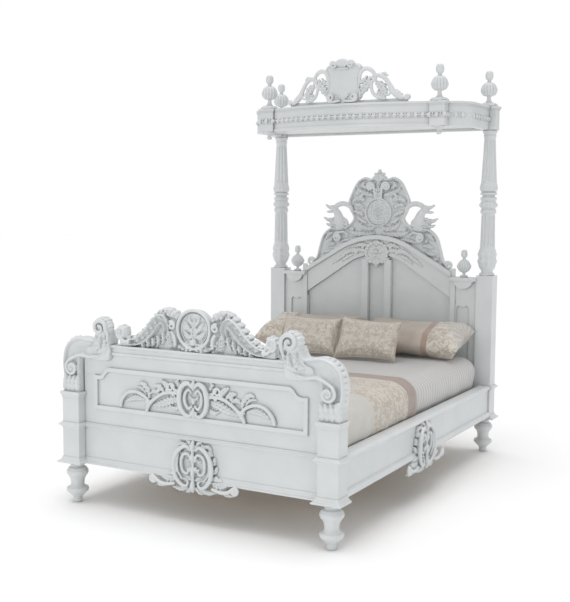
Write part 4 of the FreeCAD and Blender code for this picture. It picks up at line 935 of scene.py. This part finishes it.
def gadrooned(low, high):
    """Grooves between 14 gadroons, over a stretch of a turned urn."""
    def carve(angle, z):
        return 1 - 0.16 * between(z, low, high, 2.2) * (1 - np.abs(np.cos(7 * angle)) ** 0.7)
    return carve


def canopy_finials():
    top = CANOPY_TOP
    steps = [(0.05, top), (4.4, top), (4.5, top + 0.8), (3.4, top + 1.5),
             (1.6, top + 2.2, 0.95, top + 4.2), (1.15, top + 5.0), (3.2, 180.7, 4.2, 183.0),
             (3.1, 185.7, 1.1, 186.8), (0.85, 187.8), (1.8, 188.8, 1.95, 190.3),
             (1.6, 191.8, 0.5, 192.4), (0.05, 192.4)]
    places = [(s * x, y) for x, y in ((46.6, 50.2), (59.4, 85.3)) for s in (-1, 1)]
    shapes = [lathe(x, y, arc_rows(steps, 12), 84, gadrooned(179.4, 187.0)) for x, y in places]
    painted("canopy_finials_turned", merged(shapes), ["canopy_finials"])


def headboard_finials():
    foot = float(box_mm("headboard_finials")[0][2])
    steps = [(0.05, foot), (1.95, foot), (1.95, foot + 0.9), (0.85, foot + 1.3, 0.8, foot + 2.3),
             (2.6, foot + 3.4, 3.75, foot + 5.6), (2.5, foot + 7.9, 0.8, foot + 9.1),
             (0.75, foot + 9.9), (1.55, foot + 10.8, 1.6, foot + 11.9),
             (1.3, foot + 13.5, 0.4, foot + 14.0), (0.05, foot + 14.0)]
    shapes = [lathe(s * 48.4, 85.4, arc_rows(steps, 12), 84, gadrooned(foot + 2, foot + 9.4))
              for s in (-1, 1)]
    painted("headboard_finials_turned", merged(shapes), ["headboard_finials"])


# ------------------------------------------------------------------------------- canopy
def spaced_path(corners, step):
    """Points about a step apart along a line, with both of its ends."""
    corners = np.array(corners, float)
    along = np.concatenate([[0], np.cumsum(np.linalg.norm(np.diff(corners, axis=0), axis=1))])
    at = np.linspace(0, along[-1], max(2, int(round(along[-1] / step)) + 1))
    return np.column_stack([np.interp(at, along, corners[:, k]) for k in range(2)])


def canopy_edge(out):
    """The canopy's outline from the middle of the front to the head, in plan, as runs."""
    block = RAIL_FRONT_Y - BLOCK_STEP - out
    front = [(x, RAIL_FRONT_Y - RAIL_BOW * (1 - (x / RAIL_ENDS_X) ** 2) - out)
             for x in np.linspace(0, RAIL_ENDS_X - out, 22)]
    side = smooth_line([(50.4 + out, 52.0), (53.9 + out, 53.3), (56.9 + out, 55.6),
                        (59.7 + out, 62.0)], 14).tolist()
    return [front, [(RAIL_ENDS_X - out, block), (50.4 + out, block)],
            [(50.4 + out, block), (50.4 + out, 52.0)], side + [[60.4 + out, 82.0]]]


def canopy_bead_band():
    """A row of leaf drops under a thin fillet, on three sides."""
    shapes = []
    z_low, z_high = (float(c[2]) for c in box_mm("canopy_bead_band"))
    middle = (z_low + z_high) / 2
    for z, width in ((z_low - 0.1, 0.35), (z_high + 0.15, 0.5)):
        for run in canopy_edge(0.1):
            path = spaced_path(run, 0.8)
            shapes.append(stem([(x, y, width, z) for x, y in path], count=2 * len(path),
                               sides=6))
    for run in canopy_edge(0.1):
        path = spaced_path(run, 3.3)
        for x, y in path:
            shapes.append(ball(x, y, middle, (1.2, 1.0, 1.05), 7, 10))
        for (x, y), (next_x, next_y) in zip(path, path[1:]):
            shapes.append(ball((x + next_x) / 2, (y + next_y) / 2, middle + 0.3,
                               (0.5, 0.6, 0.6), 6, 8))
    carved("canopy_bead_band_carved", both(shapes), as_drawn, ["canopy_bead_band"], 0.2)


def canopy_crest():
    outline = [(0, 193.4), (4.6, 193.8), (8.2, 193.2), (8.9, 190.4), (7.7, 187.0), (7.8, 183.4),
               (9.2, 180.0), (8.6, 176.9), (4.6, 175.4), (0, 175.2)]
    shapes = [plate(symmetrical(outline), 2.2, 0.0, 160)]
    shapes.append(slab((-31.6, 31.6), (175.0, 176.9), (-0.6, 2.2)))
    shapes += both([
        band([(2.6, 193.2, 1.0, 2.8), (6.6, 193.6, 1.4, 3.0), (8.9, 192.2, 1.5, 3.1),
              (8.5, 189.8, 1.4, 3.0), (7.5, 186.8, 1.4, 3.0), (7.6, 183.4, 1.4, 3.0),
              (9.0, 180.2, 1.5, 3.0), (8.7, 177.6, 1.5, 3.0)], ROUND, 0.0),
        stem(curl(4.7, 193.6, 1.8, 10, 1.4, 1.4, 3.6, 0.2, 0.5), 1.0),
        stem([(1.0, 176.4, 1.2, 3.2), (3.4, 176.0, 1.4, 3.4)]
             + curl(6.2, 178.0, 2.0, 270, 1.5, 1.3, 3.6, 0.2), 0.9),
        leaf([(1.0, 177.0, 1.6, 3.0), (2.4, 178.8, 1.8, 3.4), (4.4, 180.2, 0.7, 2.6)], 3)])
    shapes += fan(0, 191.2, 5.4, 52, 128, 6, 1.5, 3.8)
    shapes.append(slab((-3.0, 3.0), (191.4, 192.2), (0.0, 3.5)))
    carved("canopy_crest_shield_carved", shapes, on_bow(3.6), ["canopy_crest_cartouche"], 0.18)
    shapes = [
        stem([(8.0, 182.6, 1.4, 1.5), (8.4, 186.6, 1.8, 1.6), (9.4, 190.0, 2.1, 1.7),
              (12.0, 191.4, 2.2, 1.7), (14.8, 190.2, 2.1, 1.7), (16.6, 187.4, 1.7, 1.6),
              (16.4, 184.8, 1.2, 1.5)], 0.9),
        stem([(14.6, 186.6, 1.4, 1.5), (17.6, 188.0, 2.0, 1.7), (21.0, 186.6, 2.2, 1.7),
              (23.6, 183.2, 2.2, 1.7), (25.8, 179.4, 2.8, 1.7), (28.8, 177.2, 2.6, 1.6),
              (31.2, 176.9, 2.0, 1.5)], 0.9),
        stem([(16.2, 187.0, 1.4, 1.5), (14.6, 183.6, 1.6, 1.6), (15.4, 179.8, 1.7, 1.6),
              (18.2, 177.4, 1.8, 1.6), (21.8, 176.8, 1.5, 1.5)], 0.9),
        stem([(23.2, 183.0, 1.2, 1.6), (24.0, 179.8, 1.2, 1.7)]
             + curl(22.4, 179.6, 1.5, -10, -0.9, 1.1, 1.8), 0.9),
        leaf([(8.0, 179.6, 2.6, 2.2), (10.4, 181.6, 4.2, 2.8), (12.8, 184.4, 3.6, 2.8),
              (14.2, 187.6, 1.0, 2.2)], 5, 0.45, 0.4),
        leaf([(8.4, 184.6, 1.6, 2.0), (10.6, 185.8, 2.4, 2.5), (12.4, 188.0, 0.8, 2.0)], 3,
             0.4, 0.4),
        leaf([(16.8, 184.6, 2.2, 2.2), (19.4, 182.8, 4.6, 2.8), (20.8, 179.8, 3.6, 2.7),
              (20.6, 177.0, 1.6, 2.2)], 5, 0.45, 0.4),
        leaf([(17.6, 180.6, 1.4, 2.0), (18.6, 178.8, 2.2, 2.4), (20.2, 177.6, 0.8, 2.0)], 3,
             0.4, 0.4),
        leaf([(23.6, 181.4, 1.4, 2.2), (26.4, 179.6, 3.2, 2.7), (29.4, 178.4, 1.2, 2.2)], 4,
             0.45, 0.4),
        leaf([(18.4, 188.0, 1.2, 1.9), (20.6, 188.8, 1.6, 2.2), (22.4, 187.6, 0.7, 1.8)], 3,
             0.4, 0.4),
        ball(31.9, 177.4, 1.5, (1.5, 1.5, 1.5)),
        stem(curl(31.9, 177.4, 1.4, 180, 1.2, 0.8, 2.7), 0.9)]
    for side, sign in SIDES:
        carved_side("canopy_crest_scroll", side, sign, shapes, on_bow(3.4), 0.18)


# -------------------------------------------------------------------------- soft goods
MATTRESS_ROUND = 6.6        # radius of the mattress's edges
BULGE = 1.7                 # how far its long sides swell
CLOTH_SCALE = 12            # pillow cases are simulated at full size and shrunk again
CASE_PRESSURE = 3.0
CLEARANCE = 0.45            # gap kept under a pillow or cushion
PILLOW_SIZE, PILLOW_TILT, PILLOW_INWARD = (56.8, 31.0, 13.4), 15, 0.2
CUSHION_SIZE, CUSHION_INWARD = (32.2, 22.0, 7.4), 1.0
CUSHION_LEAN_YAW = {"left": (58, 4), "right": (60, 1)}


def box_surface(half, radius, step):
    """A rounded box as a closed grid: (points, faces), centred on the origin."""
    half = np.array(half, float)
    counts = [max(2, int(round(2 * h / step))) for h in half]
    index, points, faces = {}, [], []

    def vertex(position):
        key = tuple(position)
        if key not in index:
            p = -half + 2 * half * np.array(position) / counts
            inner = np.clip(p, radius - half, half - radius)
            out = p - inner
            points.append(inner + radius * out / max(np.linalg.norm(out), 1e-9))
            index[key] = len(points) - 1
        return index[key]

    for axis in range(3):
        a, b = [k for k in range(3) if k != axis]
        for end in (0, counts[axis]):
            for i in range(counts[a]):
                for j in range(counts[b]):
                    corner = []
                    for di, dj in ((0, 0), (1, 0), (1, 1), (0, 1)):
                        position = [0, 0, 0]
                        position[axis], position[a], position[b] = end, i + di, j + dj
                        corner.append(vertex(position))
                    outward = (end > 0) != (axis == 1)
                    faces.append(tuple(corner if outward else reversed(corner)))
    return np.array(points), faces


def plump(points):
    """Swell the mattress's long sides over the rails."""
    low, high = MATTRESS_LOW[2], MATTRESS_HIGH[2]
    middle = (RAIL_TOP_Z + high) / 2 + 0.6      # widest a little over the rails
    reach = (high - low) / 2 + 1.2
    swell = np.clip(1 - ((points[:, 2] - middle) / reach) ** 2, 0, 1)
    half = (MATTRESS_HIGH[0] - MATTRESS_LOW[0]) / 2
    centre = (MATTRESS_HIGH[0] + MATTRESS_LOW[0]) / 2
    side = np.clip((np.abs(points[:, 0] - centre) / half - 0.9) / 0.1, 0, 1)
    moved = points.copy()
    moved[:, 0] += np.sign(points[:, 0] - centre) * swell * side * BULGE
    return moved


def ripples(points, wavelength, seed):
    """A smooth field between -1 and 1 over points, from a few crossed waves."""
    value = np.zeros(len(points))
    for k in range(4):
        angle = seed + 2.4 * k
        direction = np.array([math.cos(angle), math.sin(angle), math.cos(1.7 * angle)])
        value += np.sin(points @ direction * TAU / (wavelength * (1 + 0.35 * k)) + 5 * angle)
    return value / 4


def bed_block(grow):
    """The mattress's rounded block, grown evenly."""
    half = (MATTRESS_HIGH - MATTRESS_LOW) / 2 + grow
    points, faces = box_surface(half, MATTRESS_ROUND + grow, 1.7)
    return points + (MATTRESS_HIGH + MATTRESS_LOW) / 2, faces


def mattress():
    points, faces = bed_block(0)
    obj = new_object("mattress_padded", (plump(points), faces), MATERIALS["ticking"])
    tied(obj, "bedding", ["mattress"])


def thickened(obj, thickness):
    """Give a cloth its thickness, inwards."""
    shell = obj.modifiers.new("cloth", "SOLIDIFY")
    shell.thickness = thickness * MM
    shell.offset = -1
    return applied(obj)


def fitted_sheet():
    """A skin over the mattress down to its hem, a little rippled on the sides."""
    points, faces = bed_block(float(SHEET_HIGH[2] - MATTRESS_HIGH[2]))
    hem = float(SHEET_LOW[2])
    faces = [f for f in faces if min(points[k][2] for k in f) > hem - 1.0]
    used = sorted({k for f in faces for k in f})
    number = {k: i for i, k in enumerate(used)}
    points = plump(points[used])
    faces = [tuple(number[k] for k in f) for f in faces]
    side = np.clip((MATTRESS_HIGH[2] - 2 - points[:, 2]) / 6, 0, 1)
    centre = (MATTRESS_HIGH + MATTRESS_LOW) / 2
    out = np.sign(points - centre) * (np.abs(points - centre) > (MATTRESS_HIGH - centre) * 0.93)
    out[:, 2] = 0
    points = points + out * (0.22 * side * ripples(points, 9.0, 0.4))[:, None]
    obj = new_object("fitted_sheet_cloth", (points, faces), MATERIALS["ivory_sateen"])
    tied(obj, "bedding", ["fitted_sheet"])
    thickened(obj, 0.25)


def bed_runner():
    """A cloth laid across the foot of the bed and down over both sides to its hem."""
    grow = float(RUNNER_HIGH[2] - MATTRESS_HIGH[2])
    half = MATTRESS_HIGH[0] + grow
    top, hem, radius = RUNNER_HIGH[2], float(RUNNER_LOW[2]), MATTRESS_ROUND + grow
    bend = [(half - radius + radius * math.sin(a), top - radius + radius * math.cos(a))
            for a in np.linspace(0, math.pi / 2, 12)]
    right = bend + [(half, z) for z in np.linspace(top - radius, hem, 9)[1:]]
    flat = [(x, top) for x in np.linspace(-half + radius, half - radius, 60)[1:-1]]
    section = [(-x, z) for x, z in reversed(right)] + flat + right
    rows = np.array([[(x, y, z) for x, z in section]
                     for y in np.linspace(RUNNER_LOW[1], RUNNER_HIGH[1], 46)])
    points = plump(rows.reshape(-1, 3))
    fall = np.clip((top - points[:, 2]) / 9, 0, 1)
    edge = np.clip((points[:, 1] - RUNNER_HIGH[1] + 5) / 5, 0, 1)
    lift = 0.16 + 0.16 * ripples(points, 15.0, 1.3) + 0.35 * fall * ripples(points, 8.0, 2.1)
    points[:, 2] += (1 - fall) * (lift + 0.25 * edge)
    points[:, 0] += np.sign(points[:, 0]) * fall * (lift + 0.25 * edge)
    n, m = rows.shape[:2]
    faces = [(i * m + j + 1, (i + 1) * m + j + 1, (i + 1) * m + j, i * m + j)
             for i in range(n - 1) for j in range(m - 1)]
    obj = new_object("bed_runner_cloth", (points, faces), MATERIALS["runner"])
    tied(obj, "bedding", ["bed_runner"])
    thickened(obj, 0.35)


def pillow_grid(half_u, half_v, puff, count_u, count_v, fullness=4):
    """A closed pillow case: two grids joined at the rim, and the rim's vertex numbers."""
    index, points, faces = {}, [], []
    for layer in (1, -1):
        for i in range(count_u + 1):
            for j in range(count_v + 1):
                a, b = 2 * i / count_u - 1, 2 * j / count_v - 1
                edge = i in (0, count_u) or j in (0, count_v)
                key = (i, j, 0 if edge else layer)
                if key in index:
                    continue
                high = puff * ((1 - a ** fullness) * (1 - b ** 4)) ** 0.6
                index[key] = len(points)
                points.append((half_u * a * (1 - 0.05 * (1 - b * b)), half_v * b
                               * (1 - 0.07 * (1 - a * a)), layer * high if not edge else 0.0))
    for layer in (1, -1):
        for i in range(count_u):
            for j in range(count_v):
                keys = [(i, j), (i + 1, j), (i + 1, j + 1), (i, j + 1)]
                face = []
                for a, b in keys:
                    edge = a in (0, count_u) or b in (0, count_v)
                    face.append(index[(a, b, 0 if edge else layer)])
                faces.append(tuple(face if layer > 0 else reversed(face)))
    rim = ([(i, 0) for i in range(count_u)] + [(count_u, j) for j in range(count_v)]
           + [(i, count_v) for i in range(count_u, 0, -1)]
           + [(0, j) for j in range(count_v, 0, -1)])
    return np.array(points), faces, [index[(i, j, 0)] for i, j in rim]


def stuffed(points, faces, cap):
    """The same case after cloth simulation under pressure, moved at most cap millimetres."""
    scale = CLOTH_SCALE * MM
    mesh = bpy.data.meshes.new("case")
    mesh.from_pydata((points * scale).tolist(), [], faces)
    obj = bpy.data.objects.new("case", mesh)
    bpy.context.scene.collection.objects.link(obj)
    cloth = obj.modifiers.new("cloth", "CLOTH")
    settings = cloth.settings
    settings.quality = 6
    settings.mass = 0.3
    settings.tension_stiffness = 20
    settings.compression_stiffness = 10
    settings.bending_stiffness = 0.4
    settings.use_pressure = True
    settings.uniform_pressure_force = CASE_PRESSURE
    settings.effector_weights.gravity = 0
    cloth.point_cache.frame_start = 1
    cloth.point_cache.frame_end = 24
    for number in range(1, 21):
        bpy.context.scene.frame_set(number)
    shaped = obj.evaluated_get(bpy.context.evaluated_depsgraph_get()).to_mesh()
    moved = np.zeros(len(points) * 3)
    shaped.vertices.foreach_get("co", moved)
    bpy.data.objects.remove(obj)
    bpy.context.scene.frame_set(1)
    shift = moved.reshape(-1, 3) / scale - points
    length = np.linalg.norm(shift, axis=1)
    return points + shift * np.minimum(1, cap / np.maximum(length, 1e-9))[:, None]


def fitted(points, size):
    """Scale a shape about its middle to a box of this size."""
    low, high = points.min(0), points.max(0)
    return (points - (low + high) / 2) * (np.array(size) / (high - low))


def piping(points, rim, radius):
    """A thin cord sewn round the rim."""
    ring = points[rim]
    along = np.roll(ring, -1, 0) - np.roll(ring, 1, 0)
    along /= np.linalg.norm(along, axis=1)[:, None]
    up = np.array([0.0, 0.0, 1.0])
    out = np.cross(along, up)
    out /= np.maximum(np.linalg.norm(out, axis=1), 1e-9)[:, None]
    rows = np.zeros((len(ring), 8, 3))
    for k in range(8):
        a = TAU * k / 8
        rows[:, k] = ring + radius * (out * math.cos(a) + up * math.sin(a))
    return loops(rows, closed=True)


def turned_by(points, tilt, yaw, centre):
    """Points tilted about X, then turned about Z, and set at a centre."""
    turn = Matrix.Rotation(math.radians(yaw), 3, "Z") @ Matrix.Rotation(math.radians(tilt), 3, "X")
    return points @ np.array(turn).T + np.array(centre)


def rise_to_rest(points):
    """How far points move up or down so that the lowest is just over the sheet."""
    return SHEET_HIGH[2] + CLEARANCE - points[:, 2].min()


def padded_piece(node, shape, side, lean_yaw, inward):
    """Lay a stuffed shape on the sheet near its node, and return where its centre came to."""
    points, faces = shape
    low, high = box_mm(node)
    centre = (low + high) / 2
    centre[0] -= dict(SIDES)[side] * inward
    centre[2] += rise_to_rest(turned_by(points, *lean_yaw, centre))
    kind = "pillow" if "pillow" in node else "cushion"
    obj = new_object(node + "_stuffed", (turned_by(points, *lean_yaw, centre), faces),
                     MATERIALS[kind])
    tied(obj, kind + "_" + side, [node])
    return centre


def pillows():
    """A pillow each side at the head, and a small piped cushion leaning on each."""
    big, big_faces, _ = pillow_grid(27.0, 15.5, 2.4, 56, 34, 10)
    big = fitted(stuffed(big, big_faces, 1.5), PILLOW_SIZE)
    small, small_faces, rim = pillow_grid(16.4, 10.2, 1.2, 44, 28)
    small = fitted(stuffed(small, small_faces, 0.9), CUSHION_SIZE)
    small[:, 1] *= 1 - 0.05 * small[:, 0] / 16
    cord, cord_faces = piping(small, rim, 0.3)
    for side, _ in SIDES:
        padded_piece("back_pillow_" + side, (big, big_faces), side, (PILLOW_TILT, 0),
                     PILLOW_INWARD)
        node, lean_yaw = "front_cushion_" + side, CUSHION_LEAN_YAW[side]
        centre = padded_piece(node, (small, small_faces), side, lean_yaw, CUSHION_INWARD)
        edge = new_object(node + "_piping", (turned_by(cord, *lean_yaw, centre), cord_faces),
                          MATERIALS["champagne_satin"])
        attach(edge, "cushion_" + side)


# ------------------------------------------------------------------- frame's own pieces
def record_slot(node):
    """The material slot that the record gives a CAD node."""
    return next(row["material_slot"] for row in frame["record"]["subparts"] if row["node"] == node)


def dress_frame():
    """Give every CAD piece that stays its finish, and ease its sawn edges."""
    for name, obj in frame["nodes"].items():
        if obj.hide_render:
            continue
        obj.data.materials.clear()
        obj.data.materials.append(MATERIALS[record_slot(name)])
        if name.startswith("leg_"):
            continue
        ease = obj.modifiers.new("eased_edges", "BEVEL")
        ease.width = 0.16 * MM
        ease.segments = 2
        ease.limit_method = "ANGLE"
        ease.angle_limit = math.radians(40)
        ease.harden_normals = True


# --------------------------------------------------------------------- floor and lights
WORLD_LIGHT = 0.66      # what the surround sheds on the bed; the camera sees it as white
# name, kind, place in metres, angle or size, and power
LAMPS = (("overhead", "SUN", (0.0, -0.02, 1.25), math.radians(45), 1.25),
         ("key", "AREA", (-0.15, -1.3, 0.38), 0.35, 1.9))


def studio():
    """A pale floor, a pale even surround and two lamps."""
    mesh = bpy.data.meshes.new("floor")
    reach = 3.0
    mesh.from_pydata([(-reach, -reach, 0), (reach, -reach, 0), (reach, reach, 0),
                      (-reach, reach, 0)], [], [(0, 1, 2, 3)])
    floor = bpy.data.objects.new("floor", mesh)
    bpy.context.scene.collection.objects.link(floor)
    g = Graph("floor")
    floor.data.materials.append(g.finish((0.98, 0.98, 0.98, 1), 0.6, Specular_IOR_Level=0.1))

    world = bpy.data.worlds.new("studio")
    world.use_nodes = True
    tree = world.node_tree
    seen = tree.nodes.new("ShaderNodeMath")
    seen.operation = "MULTIPLY_ADD"
    ray = tree.nodes.new("ShaderNodeLightPath").outputs["Is Camera Ray"]
    tree.links.new(ray, seen.inputs[0])
    seen.inputs[1].default_value = 1.0 - WORLD_LIGHT
    seen.inputs[2].default_value = WORLD_LIGHT
    background = tree.nodes["Background"]
    background.inputs[0].default_value = (1, 1, 1, 1)
    tree.links.new(seen.outputs[0], background.inputs[1])
    bpy.context.scene.world = world
    bpy.context.scene.view_settings.view_transform = "Standard"
    middle = Vector((0, 0, 0.09))
    for name, kind, place, size, power in LAMPS:
        lamp = bpy.data.lights.new(name, kind)
        setattr(lamp, "angle" if kind == "SUN" else "size", size)
        lamp.energy = power
        light = bpy.data.objects.new(name, lamp)
        light.location = place
        light.rotation_mode = "QUATERNION"
        light.rotation_quaternion = (middle - Vector(place)).to_track_quat("-Z", "Y")
        bpy.context.scene.collection.objects.link(light)


def camera():
    """A camera at chest height of the bed, off its foot corner, with a long lens."""
    place = (219.05, -406.92, 124.1)
    yaw, pitch, roll = 0.5102, 0.0925, 0.0058       # radians; pitch is downwards
    data = bpy.data.cameras.new("camera")
    data.sensor_width = 36
    data.lens = 60.03
    data.clip_start = 0.01
    obj = bpy.data.objects.new("camera", data)
    obj.rotation_mode = "XYZ"
    look = (Matrix.Rotation(yaw, 4, "Z") @ Matrix.Rotation(math.pi / 2 - pitch, 4, "X")
            @ Matrix.Rotation(roll, 4, "Z"))
    obj.matrix_world = Matrix.Translation(Vector(place) * MM) @ look
    bpy.context.scene.collection.objects.link(obj)
    bpy.context.scene.camera = obj


camera()
studio()
footboard_medallion()
footboard_applique()
rocailles()
headboard_crest()
headboard_cartouche()
paired_carvings()
columns()
canopy_finials()
headboard_finials()
canopy_bead_band()
canopy_crest()
mattress()
fitted_sheet()
bed_runner()
pillows()
dress_frame()
